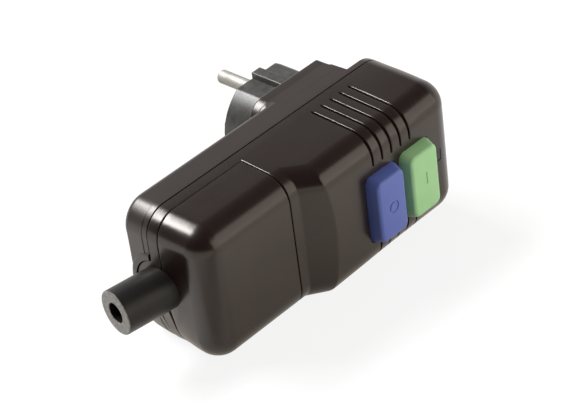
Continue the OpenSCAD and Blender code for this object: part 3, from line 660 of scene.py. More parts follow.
def noise(tree, vector, scale, detail=3.0, rough=0.5):
    """A noise texture whose scale is a number or a socket."""
    node = tree.nodes.new("ShaderNodeTexNoise")
    tree.links.new(vector, node.inputs["Vector"])
    feed(tree, node.inputs["Scale"], scale)
    node.inputs["Detail"].default_value = detail
    node.inputs["Roughness"].default_value = rough
    return node.outputs["Fac"]


def ramp(tree, value, low, high, to_low=0.0, to_high=1.0):
    """Maps a value from low..high to another range, clamped."""
    node = tree.nodes.new("ShaderNodeMapRange")
    tree.links.new(value, node.inputs["Value"])
    node.inputs["From Min"].default_value = low
    node.inputs["From Max"].default_value = high
    node.inputs["To Min"].default_value = to_low
    node.inputs["To Max"].default_value = to_high
    return node.outputs["Result"]


def moulded_grain_group():
    """Fine orange-peel skin of a moulding, with a slow wave from shrinkage under it."""
    tree, given, result = shader_group("moulded grain", [
        ("Vector", "NodeSocketVector", (0, 0, 0)), ("Grain Scale", "NodeSocketFloat", 3000.0),
        ("Wave Scale", "NodeSocketFloat", 120.0), ("Wave Share", "NodeSocketFloat", 0.5)],
        [("Height", "NodeSocketFloat"), ("Mottle", "NodeSocketFloat")])
    fine = noise(tree, given.outputs["Vector"], given.outputs["Grain Scale"], 2.0)
    wave = noise(tree, given.outputs["Vector"], given.outputs["Wave Scale"], 2.0)
    weighed = product(tree, wave, given.outputs["Wave Share"])
    tree.links.new(blend_math(tree, "ADD", fine, weighed), result.inputs["Height"])
    tree.links.new(ramp(tree, wave, 0.3, 0.7), result.inputs["Mottle"])
    return tree


def handling_group():
    """Masks of what handling leaves: broad smudges and sparse specks of dust."""
    tree, given, result = shader_group("handling marks", [
        ("Vector", "NodeSocketVector", (0, 0, 0)), ("Smudge Scale", "NodeSocketFloat", 60.0),
        ("Speck Scale", "NodeSocketFloat", 900.0)],
        [("Smudge", "NodeSocketFloat"), ("Speck", "NodeSocketFloat")])
    broad = noise(tree, given.outputs["Vector"], given.outputs["Smudge Scale"], 5.0, 0.6)
    dots = noise(tree, given.outputs["Vector"], given.outputs["Speck Scale"], 1.0)
    tree.links.new(ramp(tree, broad, 0.48, 0.72), result.inputs["Smudge"])
    tree.links.new(ramp(tree, dots, 0.70, 0.76), result.inputs["Speck"])
    return tree


def drawn_metal_group():
    """Fine lines along one axis from drawing or turning, with a dull bloom in patches."""
    tree, given, result = shader_group("drawn metal", [
        ("Vector", "NodeSocketVector", (0, 0, 0)), ("Stretch", "NodeSocketVector", (1, 1, 1)),
        ("Line Scale", "NodeSocketFloat", 2500.0), ("Bloom Scale", "NodeSocketFloat", 350.0)],
        [("Lines", "NodeSocketFloat"), ("Bloom", "NodeSocketFloat")])
    pull = tree.nodes.new("ShaderNodeVectorMath")
    pull.operation = "MULTIPLY"
    tree.links.new(given.outputs["Vector"], pull.inputs[0])
    tree.links.new(given.outputs["Stretch"], pull.inputs[1])
    lines = noise(tree, pull.outputs["Vector"], given.outputs["Line Scale"], 3.0, 0.6)
    bloom = noise(tree, given.outputs["Vector"], given.outputs["Bloom Scale"], 4.0, 0.6)
    tree.links.new(lines, result.inputs["Lines"])
    tree.links.new(ramp(tree, bloom, 0.45, 0.7), result.inputs["Bloom"])
    return tree


GRAIN = moulded_grain_group()
HANDLING = handling_group()
DRAWN = drawn_metal_group()


def start_finish(name):
    """A material with a Principled shader and Object coordinates."""
    material = bpy.data.materials.new(name)
    material.use_nodes = True
    tree = material.node_tree
    shader = tree.nodes["Principled BSDF"]
    where = tree.nodes.new("ShaderNodeTexCoord").outputs["Object"]
    return material, tree, shader, where


def use_group(tree, group, where, values):
    node = tree.nodes.new("ShaderNodeGroup")
    node.node_tree = group
    tree.links.new(where, node.inputs["Vector"])
    for label, value in values.items():
        node.inputs[label].default_value = value
    return node.outputs


def mix_colour(tree, share, a, b):
    node = tree.nodes.new("ShaderNodeMix")
    node.data_type = "RGBA"
    tree.links.new(share, node.inputs["Factor"])
    for label, value in (("A", a), ("B", b)):
        socket = [s for s in node.inputs if s.name == label and s.type == "RGBA"][0]
        feed(tree, socket, value + (1,) if isinstance(value, tuple) else value)
    return [s for s in node.outputs if s.type == "RGBA"][0]


def put_bump(tree, shader, height, strength, distance):
    bump = tree.nodes.new("ShaderNodeBump")
    bump.inputs["Strength"].default_value = strength
    bump.inputs["Distance"].default_value = distance * MM
    tree.links.new(height, bump.inputs["Height"])
    tree.links.new(bump.outputs["Normal"], shader.inputs["Normal"])


def moulded_finish(name, colour, shade, rough, smudge_rough, grain=2200.0, bump=0.1, distance=0.05, wave=0.6,
                   wave_scale=120.0, dust=(0.35, 0.34, 0.33), dust_share=0.1, ior=1.5, gloss_tint=(1, 1, 1),
                   dull_back=0.0, cut_end_and_sheen=None):
    """Moulded plastic: mottled colour, orange-peel skin, smudges in the gloss and a little dust."""
    material, tree, shader, where = start_finish(name)
    skin_marks = use_group(tree, GRAIN, where,
                           {"Grain Scale": grain, "Wave Share": wave, "Wave Scale": wave_scale})
    marks = use_group(tree, HANDLING, where, {"Smudge Scale": 55.0, "Speck Scale": 1500.0})
    base = mix_colour(tree, skin_marks["Mottle"], shade, colour)
    face = mix_colour(tree, product(tree, marks["Speck"], dust_share), base, dust)
    # Pale end of the sleeve: partly the cut rubber's own lighter face, partly painted sheen standing in for a
    # reflection on the end face
    if cut_end_and_sheen:
        along = share_along(tree, where, (-math.cos(SLEEVE_TILT), math.sin(SLEEVE_TILT), 0))
        end = (-CABLE_END * math.cos(SLEEVE_TILT) - SLEEVE_DEPTH * math.sin(SLEEVE_TILT) + SLEEVE_OUT) * MM
        cut = product(tree, ramp(tree, along, end - 0.0003, end - 0.00005),
                      ramp(tree, noise(tree, where, 900.0, 4.0, 0.7), 0.3, 0.6, 0.35, 1.0))
        face = mix_colour(tree, cut, face, cut_end_and_sheen)
    tree.links.new(face, shader.inputs["Base Color"])
    dullness = ramp(tree, marks["Smudge"], 0.0, 1.0, rough, smudge_rough)
    if dull_back:
        edge = -(PART_DEPTH + BAND_DEPTH) / 2 * MM
        duller = ramp(tree, axes(tree, where)["Y"], edge - 0.002, edge + 0.002, 0.0, dull_back)
        dullness = blend_math(tree, "ADD", dullness, duller)
    tree.links.new(dullness, shader.inputs["Roughness"])
    shader.inputs["IOR"].default_value = ior
    shader.inputs["Specular Tint"].default_value = gloss_tint + (1,)
    put_bump(tree, shader, skin_marks["Height"], bump, distance)
    return material


def metal_finish(name, colour, tarnish, rough, dull, stretch, bump=0.05, shine=0.0):
    """Drawn, turned or plated metal with fine lines and a dull bloom."""
    material, tree, shader, where = start_finish(name)
    marks = use_group(tree, DRAWN, where, {"Stretch": stretch})
    tree.links.new(mix_colour(tree, marks["Bloom"], colour, tarnish), shader.inputs["Base Color"])
    shader.inputs["Metallic"].default_value = 1.0
    tree.links.new(ramp(tree, marks["Bloom"], 0.0, 1.0, rough, dull), shader.inputs["Roughness"])
    shader.inputs["Coat Weight"].default_value = shine
    shader.inputs["Coat Roughness"].default_value = 0.2
    put_bump(tree, shader, marks["Lines"], bump, 0.02)
    return material


DRAWN_ALONG_X = (0.1, 1.0, 1.0)
DRAWN_ALONG_Y = (1.0, 0.06, 1.0)

SLOT_FINISH = {
    "housing_black": moulded_finish(
        "housing black", (0.0135, 0.0068, 0.0056), (0.0110, 0.0055, 0.0046), 0.24, 0.29, bump=0.018,
        dust_share=0.03, ior=1.58, gloss_tint=(1.0, 0.95, 0.90), dull_back=0.07),
    "insert_grey": moulded_finish(
        "insert charcoal", (0.066, 0.064, 0.060), (0.030, 0.029, 0.027), 0.36, 0.50, bump=0.16,
        wave_scale=330.0, wave=1.4),
    # The sleeve's pale end colour is partly painted sheen
    "sleeve_rubber": moulded_finish(
        "sleeve rubber", (0.0125, 0.0115, 0.0098), (0.0075, 0.0065, 0.0058), 0.40, 0.54, grain=1600.0,
        bump=0.22, dust_share=0.02, ior=1.40, cut_end_and_sheen=(0.28, 0.265, 0.24)),
    "button_blue": moulded_finish(
        "button blue", (0.122, 0.172, 0.50), (0.112, 0.157, 0.47), 0.42, 0.5, bump=0.08, dust_share=0.03),
    "button_green": moulded_finish(
        "button green", (0.41, 0.73, 0.355), (0.385, 0.69, 0.33), 0.42, 0.5, bump=0.08, dust_share=0.03),
    "clamp_grey": moulded_finish("clamp grey", (0.17, 0.17, 0.165), (0.14, 0.14, 0.138), 0.5, 0.6),
    "inner_white": moulded_finish("inner white", (0.74, 0.73, 0.69), (0.68, 0.67, 0.63), 0.45, 0.55),
    "board_green": moulded_finish(
        "board green", (0.03, 0.16, 0.06), (0.025, 0.13, 0.05), 0.35, 0.45, grain=5000.0),
    "ferrite": moulded_finish("ferrite", (0.06, 0.06, 0.065), (0.05, 0.05, 0.055), 0.55, 0.7, bump=0.2),
    "flag_red": moulded_finish("flag red", (0.55, 0.045, 0.035), (0.48, 0.04, 0.03), 0.45, 0.55),
    "earth_sheath": moulded_finish("earth sheath", (0.25, 0.48, 0.06), (0.22, 0.43, 0.05), 0.45, 0.55),
    "window_dark": moulded_finish(
        "window smoked", (0.02, 0.02, 0.023), (0.015, 0.015, 0.018), 0.12, 0.2, bump=0.02),
    "nickel": metal_finish(
        "pin nickel", (0.43, 0.42, 0.385), (0.37, 0.36, 0.33), 0.66, 0.72, DRAWN_ALONG_Y, 0.02, shine=0.25),
    "earth_metal": metal_finish(
        "earth clip metal", (0.80, 0.74, 0.60), (0.62, 0.55, 0.42), 0.24, 0.4, DRAWN_ALONG_Y),
    "screw_steel": metal_finish(
        "screw steel", (0.62, 0.62, 0.63), (0.42, 0.42, 0.43), 0.3, 0.45, (1.0, 1.0, 0.1)),
    "coil_steel": metal_finish(
        "coil steel", (0.56, 0.56, 0.57), (0.40, 0.40, 0.41), 0.32, 0.48, (0.08, 1.0, 1.0)),
    "spring_steel": metal_finish(
        "spring steel", (0.66, 0.66, 0.67), (0.5, 0.5, 0.51), 0.22, 0.35, (1.0, 0.2, 1.0)),
    "terminal_brass": metal_finish(
        "terminal brass", (0.78, 0.58, 0.27), (0.55, 0.39, 0.17), 0.28, 0.45, DRAWN_ALONG_X),
    "copper": metal_finish(
        "winding copper", (0.80, 0.42, 0.25), (0.56, 0.27, 0.15), 0.3, 0.45, (1.0, 0.1, 1.0)),
    "contact_bronze": metal_finish(
        "contact bronze", (0.72, 0.50, 0.30), (0.52, 0.35, 0.2), 0.3, 0.45, DRAWN_ALONG_X)}


# Pieces

def vent_grooves():
    """Cutters for the vent grooves that run from the side over the front edge, shallow at both ends."""
    centre_z, centre_d, start = front_edge(FRONT_DEPTH, EDGE_R)
    side = (math.cos(DRAFT), math.sin(DRAFT))
    foot = (half_width(BAND_DEPTH), BAND_DEPTH)
    path = []
    for t, share in ((0.0, 0.1), (0.02, 0.4), (0.05, 0.8), (0.08, 1.0), (0.4, 1.0), (0.7, 1.0)):
        path.append((foot[0] + (start[0] - foot[0]) * t, foot[1] + (start[1] - foot[1]) * t, side, share))
    for k in range(15):
        a = DRAFT + (math.pi / 2 - DRAFT) * k / 14
        out = (math.cos(a), math.sin(a))
        path.append((centre_z + EDGE_R * out[0], centre_d + EDGE_R * out[1], out, 1.0))
    for before_end, share in ((1.0, 1.0), (0.4, 0.75), (0.0, 0.1)):
        path.append((GROOVE_END_Z + before_end, FRONT_DEPTH, (0.0, 1.0), share))
    half = [(0.72, 0.6), (0.72, 0.012), (0.59, -0.055), (0.47, -0.13), (0.41, -0.3), (0.38, -0.64),
            (0.2, -GROOVE_DEPTH)]
    section = [(-s, h) for s, h in half] + [(s, h) for s, h in reversed(half)]
    rings = []
    for z, d, out, share in path:
        ring = []
        for s, h in section:
            rise = h if h > 0 else h * share
            ring.append((GROOVE_X + s * (0.5 + 0.5 * share), d + out[1] * rise, z + out[0] * rise))
        rings.append(ring)
    cutter = skin("vent groove cutter", rings)
    run_tree(cutter, groove_row_tree(), {"Count": GROOVE_COUNT, "Pitch": GROOVE_PITCH * MM,
                                         "Finish": SLOT_FINISH["housing_black"]})
    return cutter


def cap_middle(x):
    """Where a cap sits over its guide stem."""
    return x + CAP_SHIFT_X[x]


def button_outline(x, grow, corner):
    middle, half_w = cap_middle(x), BUTTON_HALF_W
    plan = rounded_plan(middle - half_w - grow, middle + half_w + grow, BUTTON_HALF_H + grow, corner, corner)
    return [(px, pz + BUTTON_SHIFT_Z) for px, pz in plan]


def button_window(name, x):
    plan = button_outline(x, BUTTON_GAP, BUTTON_CORNER_R + BUTTON_GAP)
    return skin(name, [at_level(plan, d) for d in (FRONT_DEPTH - WALL - 1.5, FRONT_DEPTH + 1.0)])


def tongue_out(depth):
    """How far the tongue stands out: flush with the band, and with the boss ring where it drops behind."""
    return 0.03 - max(depth - PART_DEPTH, 0.0) * math.tan(DRAFT)


def boss_out(depth):
    """The boss ring keeps its face where the rear shell's own end leans away and rounds off."""
    return BOSS_RING_OUT * ease((depth - SLEEVE_DEPTH + BOSS_RING_R + 0.6) / 2.4)


def tuck_lower_corner(moulding):
    """The cable end draws in where it turns under, more at the back than at the front."""
    for vert in moulding.data.vertices:
        x, depth, z = vert.co.x / MM, -vert.co.y / MM, vert.co.z / MM
        share = 1.0
        for at, start, over in zip((x, z, depth), TUCK_START, TUCK_OVER):
            share *= ease((start - at) / over)
        vert.co.x += CORNER_TUCK * share * MM


def cover_band(foot, top):
    """The band of the front housing that runs round under the terminal cover."""
    levels = [(d, CABLE_END + lean_at(d), SEAM_X + 1.5, half_width(d) - 0.02, CABLE_CORNER_R, 0.2)
              for d in (foot, top)]
    band = plan_block("band", levels, 10)
    break_edges(band, 0.22, at_depth(top))
    break_edges(band, LINE_BREAK, at_depth(foot), 2)
    return band


def front_lips(foot):
    """Lips inside the cover's seam and foot, which keep light out of the gaps."""
    seam_rings = [[pull_ends(*lower_draft(*p)) for p in body_ring(x, COVER_DEPTH, foot, LIP_IN)]
                  for x in (SEAM_X + 1.0, SEAM_X - SEAM_GAP + 0.03)]
    foot_levels = [(d, CABLE_END + LIP_IN + 0.3, SEAM_X + 1.0, half_width(d) - LIP_IN,
                    CABLE_CORNER_R - LIP_IN, 0.2) for d in (BAND_DEPTH - 1.0, BAND_DEPTH + 0.17)]
    return [skin("seam lip", seam_rings), plan_block("foot lip", foot_levels, 10)]


def front_housing():
    foot = PART_DEPTH + LINE_GAP
    seam = SEAM_X + SEAM_GAP
    band_top = BAND_DEPTH - 0.05
    shell = button_body("front_housing_shell", 0.0, seam, foot)
    break_edges(shell, 0.36, at_x(seam))
    break_edges(shell, LINE_BREAK, at_depth(foot), 2)
    shape_with(shell, [cover_band(foot, band_top)] + front_lips(foot), "UNION")
    cavity = button_body("cavity", WALL, SEAM_X + WALL, PART_DEPTH - 2)
    inside = [(d, CABLE_END + WALL + 0.3, SEAM_X - 0.2, half_width(d) - WALL - 0.3,
               CABLE_CORNER_R - WALL, 0.2) for d in (PART_DEPTH - 2, BAND_DEPTH + 2)]
    shape_with(shell, [cavity, plan_block("band inside", inside)], "DIFFERENCE")
    tongue = end_boss("tongue", TONGUE_R, SLEEVE_DEPTH - TONGUE_R, band_top - 0.05, tongue_out,
                      CABLE_END + WALL, 0.5)
    shape_with(shell, [tongue], "UNION")
    bore = sleeve_cutter("sleeve bore")
    windows = [button_window("test window", TEST_X), button_window("reset window", RESET_X)]
    flag_window = plan_block("flag window", [(d, 12.5, 14.7, 2.2, 0.3, 0.3) for d in (60.0, 67.0)], 3)
    flag_window.data.transform(Matrix.Translation((0, 0, 0.4 * MM)))
    shape_with(shell, [vent_grooves(), bore] + windows + [flag_window], "DIFFERENCE")
    tuck_lower_corner(shell)
    finish_mesh(shell, 0.0)
    return shell


def terminal_cover():
    foot = BAND_DEPTH + 0.2
    seam = SEAM_X - SEAM_GAP
    shell = cover_body("terminal_cover_shell", 0.0, seam, foot)
    break_edges(shell, 0.2, at_x(seam))
    break_edges(shell, 0.4, at_depth(foot))
    cavity = cover_body("cover cavity", WALL, SEAM_X + 2, BAND_DEPTH - 2)
    shape_with(shell, [cavity, sleeve_cutter("sleeve arch")], "DIFFERENCE")
    tuck_lower_corner(shell)
    finish_mesh(shell, 0.0)
    return shell


def rear_floor():
    """The rear shell's main wall, with a step line at the cable end and a rounded back edge."""
    steps = [(PART_DEPTH - LINE_GAP, 0.0, RIM_STEP), (RIM_DEPTH + 0.6, 0.0, RIM_STEP),
             (RIM_DEPTH + 0.5, 0.0, 0.06), (RIM_DEPTH + 0.38, 0.0, 0.0)]
    for inset, rise in quarter(BACK_EDGE_R, 8):
        steps.append((BACK_DEPTH + BACK_EDGE_R - rise, inset, inset * 1.7))
    levels = []
    for depth, inset, end_inset in steps:
        levels.append((depth, CABLE_END + lean_at(depth) + end_inset, HUMP_FAR - 0.2,
                       half_width(depth) - inset, CABLE_CORNER_R - inset, 0.2))
    shell = plan_block("rear_shell_moulding", levels, 10)
    break_edges(shell, LINE_BREAK, at_depth(PART_DEPTH - LINE_GAP), 2)
    return shell


def rear_rim():
    """The shallow far end of the rear shell, behind the buttons."""
    rings = []
    for inset, rise in [(0.0, None)] + quarter(RIM_EDGE_R, 3):
        depth = PART_DEPTH - LINE_GAP if rise is None else RIM_DEPTH + RIM_EDGE_R - rise
        plan = rounded_plan(3.0, FAR_END - inset, half_width(depth) - 0.02 - inset, 0.3,
                            FAR_CORNER_R - inset, 10)
        rings.append([pull_ends(x, depth, z) for x, z in plan])
    return skin("rim", rings)


def plug_platform():
    """The raised block behind the plug insert, with a flared foot and a rounded edge."""
    steps = [(30.5, -HUMP_FOOT_R, 0.0), (BACK_DEPTH, -HUMP_FOOT_R, 0.0)]
    for k in range(1, 9):
        a = math.radians(90 * k / 8)
        steps.append((BACK_DEPTH - HUMP_FOOT_R * (1 - math.cos(a)), -HUMP_FOOT_R * (1 - math.sin(a)), 0.0))
    for inset, rise in quarter(HUMP_EDGE_R, 4):
        steps.append((PLATFORM_DEPTH + HUMP_EDGE_R - rise, 0.0, inset))
    rings = []
    for depth, flare, inset in steps:
        half_z = half_width(max(depth, BACK_DEPTH)) + 0.015 - inset
        outline = rounded_plan(HUMP_CABLE + inset, HUMP_FAR - inset, half_z, HUMP_CORNER_R - inset,
                               max(1.2 - inset, 0.05), 14)
        ring = []
        for x, z in outline:
            reach = ease((HUMP_CABLE + HUMP_CORNER_R - x) / HUMP_CORNER_R)
            ring.append((x + flare * reach, depth, z))
        rings.append(ring)
    return skin("hump", rings)


def insert_collar():
    """The round collar that the plug insert stands in."""
    profile = [(COLLAR_R - 0.1, PART_DEPTH - 0.5)]
    for inset, rise in quarter(HUMP_EDGE_R, 5):
        profile.append((COLLAR_R - 0.1 - inset, PLATFORM_DEPTH + HUMP_EDGE_R - rise))
    return round_block("collar", 0, 0, profile, 96)


def rear_lip():
    """A lip inside the parting line, which keeps light out of the gap."""
    plan = rounded_plan(CABLE_END + LIP_IN, FAR_END - LIP_IN, half_width(PART_DEPTH) - LIP_IN,
                        CABLE_CORNER_R - LIP_IN, FAR_CORNER_R - LIP_IN, 10)
    depths = (PART_DEPTH - 2.0, PART_DEPTH + LINE_GAP - 0.03)
    return skin("lip", [[pull_ends(x, d, z) for x, z in plan] for d in depths])


def rear_shell():
    shell = rear_floor()
    boss = end_boss("boss ring", BOSS_RING_R, SLEEVE_DEPTH - BOSS_RING_R, PART_DEPTH - LINE_GAP, boss_out,
                    CABLE_END + 9, 0.9)
    shape_with(shell, [rear_rim(), plug_platform(), insert_collar(), boss, rear_lip()], "UNION")
    inside = plan_block("rear inside", [(d, CABLE_END + WALL + 0.6, 5.0, half_width(d) - WALL, 6.0, 0.5)
                                        for d in (BACK_DEPTH + WALL, PART_DEPTH + 1)])
    hump_inside = plan_block("hump inside", [(d, HUMP_CABLE + WALL, 5.0, 21.6, 6.0, 0.5)
                                             for d in (PLATFORM_DEPTH + WALL, BACK_DEPTH + WALL + 0.5)])
    well = round_block("collar inside", 0, 0, [(WELL_R, PLATFORM_DEPTH + WALL), (WELL_R, PART_DEPTH + 1)], 96)
    shape_with(shell, [inside, hump_inside, well], "DIFFERENCE")
    boss_profile = [(SCREW_BOSS_R, BACK_DEPTH + 2.0), (SCREW_BOSS_R, PART_DEPTH - 0.5)]
    bosses = [round_block("screw boss", x, z, boss_profile, 32)
              for x, z, seat in SCREWS_COVER + SCREWS_HOUSING[:2]]
    shape_with(shell, bosses, "UNION")
    cutters = [round_block("screw recess", x, z, [(SCREW_RECESS_R, seat - 12), (SCREW_RECESS_R, seat)], 40)
               for x, z, seat in SCREWS_COVER + SCREWS_HOUSING]
    cutters.append(end_shaft("tongue notch", TONGUE_R + LINE_GAP, CABLE_END - 4, CABLE_END + 11))
    cutters.append(skin("insert mouth", [insert_ring(d, SEAT_GAP) for d in (15.0, 30.0)]))
    shape_with(shell, cutters, "DIFFERENCE")
    tuck_lower_corner(shell)
    finish_mesh(shell, 0.0)
    return shell


def insert_ring(depth, grow):
    """Outline of the plug insert: a circle with two flats, each with a centre rib."""
    radius, flat, rib_half, rib_top = (size + grow for size in (INSERT_R, INSERT_FLAT, RIB_HALF, RIB_TOP))
    flat_x = math.sqrt(radius * radius - flat * flat)
    points = []
    for sign in (1, -1):
        first = math.atan2(flat, flat_x)
        for k in range(33):
            a = -first + 2 * first * k / 32
            points.append((sign * radius * math.cos(a), sign * radius * math.sin(a)))
        points.append((sign * rib_half, sign * flat))
        points.append((sign * rib_half, sign * rib_top))
        points.append((-sign * rib_half, sign * rib_top))
        points.append((-sign * rib_half, sign * flat))
    return at_level(points, depth)


def at_rib_edge(x, depth, z):
    """Chooser for the long outer edges of the insert's two ribs."""
    return abs(abs(z) - RIB_TOP) < 0.01 and abs(abs(x) - RIB_HALF) < 0.01


def plug_insert():
    body = skin("plug_insert_moulding", [insert_ring(d, 0.0) for d in (0.0, 24.0)])
    break_edges(body, 0.45, at_rib_edge)
    break_edges(body, 0.5, at_depth(0.0))
    cutters = [round_block("earth hole", EARTH_HOLE_X, 0, [(EARTH_HOLE_R, -1), (EARTH_HOLE_R, 12)], 48)]
    for s in (1, -1):
        seat = [(2.5, -1), (2.5, 0.4), (2.2, 0.4), (2.2, 30)]
        cutters.append(round_block("pin seat", 0, s * PIN_Z, seat, 48))
        x0, x1 = sorted(s * x for x in CLIP_SLOT_X)
        cutters.append(plan_block("clip slot", [(d, x0, x1, 2.8, 0.2, 0.2) for d in (1.5, 30.0)], 2))
    shape_with(body, cutters, "DIFFERENCE")
    flange = round_block("insert flange", 0, 0, [(FLANGE_R, d) for d in FLANGE_DEPTHS], 96)
    shape_with(body, [flange], "UNION")
    finish_mesh(body, 0.0)
    return body


def push_button(name, x, mark, stem_end, prong=False):
    """A pillow-topped cap with its retaining flange, guide stem and engraved mark."""
    plan = button_outline(x, 0.0, BUTTON_CORNER_R)
    rings = [at_level(plan, d) for d in (BUTTON_FLANGE[1] - 0.2, FRONT_DEPTH + 0.3)]
    crown = 0.12
    for inset, rise in quarter(BUTTON_EDGE_R, 8):
        corner = max(BUTTON_CORNER_R - inset * 0.6, 0.1)
        rings.append(at_level(button_outline(x, -BUTTON_TAPER - inset, corner),
                              BUTTON_TOP - crown - BUTTON_EDGE_R + rise))
    for more, rise in ((0.9, 0.05), (2.0, 0.09), (3.2, 0.12)):
        corner = max(BUTTON_CORNER_R - BUTTON_EDGE_R * 0.6 - more * 0.3, 0.1)
        rings.append(at_level(button_outline(x, -BUTTON_TAPER - BUTTON_EDGE_R - more, corner),
                              BUTTON_TOP - crown + rise))
    cap = skin(name, rings)
    root = BUTTON_FLANGE[0] + 0.5
    flange = skin("flange", [at_level(button_outline(x, 0.9, 3.0), d) for d in BUTTON_FLANGE])
    stem = round_block("stem", x, 0, [(STEM_R - 0.4, stem_end), (STEM_R, stem_end + 0.4), (STEM_R, root)], 40)
    parts = [flange, stem]
    if prong:
        block = plan_block("prong", [(d, x - 1.0, x + 1.0, 1.0, 0.2, 0.2) for d in (PRONG_END, root)], 3)
        block.data.transform(Matrix.Translation((0, 0, PRONG_Z * MM)))
        parts.append(block)
    shape_with(cap, parts, "UNION")
    shape_with(cap, [mark], "DIFFERENCE")
    finish_mesh(cap, 0.08)
    return cap


def ring_mark(x):
    """A plain engraved ring."""
    middle = cap_middle(x)
    low, high = MARK_DEPTHS
    rings = []
    for radius, depth in ((1.55, low), (2.15, low), (2.15, high), (1.55, high)):
        rings.append([(middle + a, depth, BUTTON_SHIFT_Z + b) for a, b in circle(radius, 40)])
    return skin("ring mark", rings, closed_path=True)


def bar_mark(x):
    """A plain engraved bar."""
    middle = cap_middle(x)
    return plan_block("bar mark", [(d, middle - 0.35, middle + 0.35, 2.2, 0.2, 0.2) for d in MARK_DEPTHS], 3)


def cable_sleeve():
    """Rubber sleeve with a square-cut outer end and a smooth bore."""
    profile = [(SLEEVE_BORE_R, -SLEEVE_IN), (SLEEVE_R - 0.1, -SLEEVE_IN), (SLEEVE_R, -SLEEVE_IN + 0.1),
               (SLEEVE_R, 6.0)]
    for inset, rise in quarter(0.4, 4):
        profile.append((SLEEVE_R - inset, SLEEVE_OUT - 0.4 + rise))
    for k in range(4):
        a = math.radians(90 * k / 3)
        profile.append((SLEEVE_BORE_R + 0.25 * (1 - math.sin(a)), SLEEVE_OUT - 0.25 * (1 - math.cos(a))))
    tube = sleeve_turn("cable_sleeve_rubber", profile, closed=True)
    finish_mesh(tube, 0)
    return tube


def mains_pin(name, node):
    """A finished copy of a CAD pin, drawn a little shorter outside the face, as the photograph shows it."""
    mesh = cad_nodes[node].data.copy()
    mesh.materials.clear()
    for vertex in mesh.vertices:
        if vertex.co.y > 0:
            vertex.co.y *= PIN_SHOWN / PIN_LENGTH
    obj = add_object(name, mesh)
    finish_mesh(obj, 0.0, sharp=30)
    return obj


def screws(name, places, reach):
    mesh = bpy.data.meshes.new(name)
    mesh.from_pydata([place(x, seat, z) for x, z, seat in places], [], [])
    obj = add_object(name, mesh)
    run_tree(obj, SCREW_TREE, {"Head Radius": SCREW_HEAD_R * MM, "Head Height": SCREW_HEAD_T * MM,
                               "Shank Length": reach * MM, "Finish": SLOT_FINISH["screw_steel"]})
    finish_mesh(obj, 0.08, 1)
    return obj


def dress(obj, node_name, slot):
    """Gives a finished piece the material of its slot and hides the CAD node that it stands for."""
    obj.data.materials.clear()
    obj.data.materials.append(SLOT_FINISH[slot])
    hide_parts(node_name)


def settle(obj, node_name, slot, body="housing"):
    """Dresses a finished piece and lets it move with its body."""
    dress(obj, node_name, slot)
    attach(obj, body)


def live_spring(node_name, way, fixed_end):
    """A finished copy of a CAD coil spring; it finds the spring's fixed end and the end by the body that
    presses it, along one axis, and stays rigid.
    """
    node = cad_nodes[node_name]
    slot = node.data.materials[0].name.split(".")[0]
    wire = add_object(node_name + "_wire", node.data.copy())
    finish_mesh(wire, 0.0)
    dress(wire, node_name, slot)
    low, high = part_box(node_name)
    start, end = (low + high) / 2, (low + high) / 2
    start[way] = fixed_end * MM
    end[way] = low[way] if abs(high[way] - start[way]) < abs(low[way] - start[way]) else high[way]
    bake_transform(wire)


SCREW_TREE = screw_tree()
settle(front_housing(), "front_housing", "housing_black")
settle(terminal_cover(), "terminal_cover", "housing_black")
settle(rear_shell(), "rear_shell", "housing_black")
settle(plug_insert(), "plug_insert", "insert_grey")
settle(mains_pin("line_pin_nickel", "line_pin"), "line_pin", "nickel")
settle(mains_pin("neutral_pin_nickel", "neutral_pin"), "neutral_pin", "nickel")
settle(cable_sleeve(), "cable_sleeve", "sleeve_rubber")
settle(screws("cover_screws_steel", SCREWS_COVER, 20.0), "cover_screws", "screw_steel")
settle(screws("housing_screws_steel", SCREWS_HOUSING, 14.0), "housing_screws", "screw_steel")
settle(push_button("test_button_cap", TEST_X, ring_mark(TEST_X), TEST_STEM_END, True),
       "test_button", "button_blue", "test_button")
settle(push_button("reset_button_cap", RESET_X, bar_mark(RESET_X), RESET_STEM_END),
       "reset_button", "button_green", "reset_button")

live_spring("test_spring", 1, -55.0)
live_spring("reset_spring", 1, -55.0)
live_spring("opening_spring", 1, -53.0)
live_spring("plunger_spring", 0, -13.8)

# Inner pieces keep their CAD shape and take a finish of their own
for name, node in cad_nodes.items():
    for index, old in enumerate(list(node.data.materials)):
        slot = old.name.split(".")[0] if old else ""
        if slot in SLOT_FINISH:
            node.material_slots[index].material = SLOT_FINISH[slot]
        else:
            print("no finish for", name, slot)


# Floor, light and camera

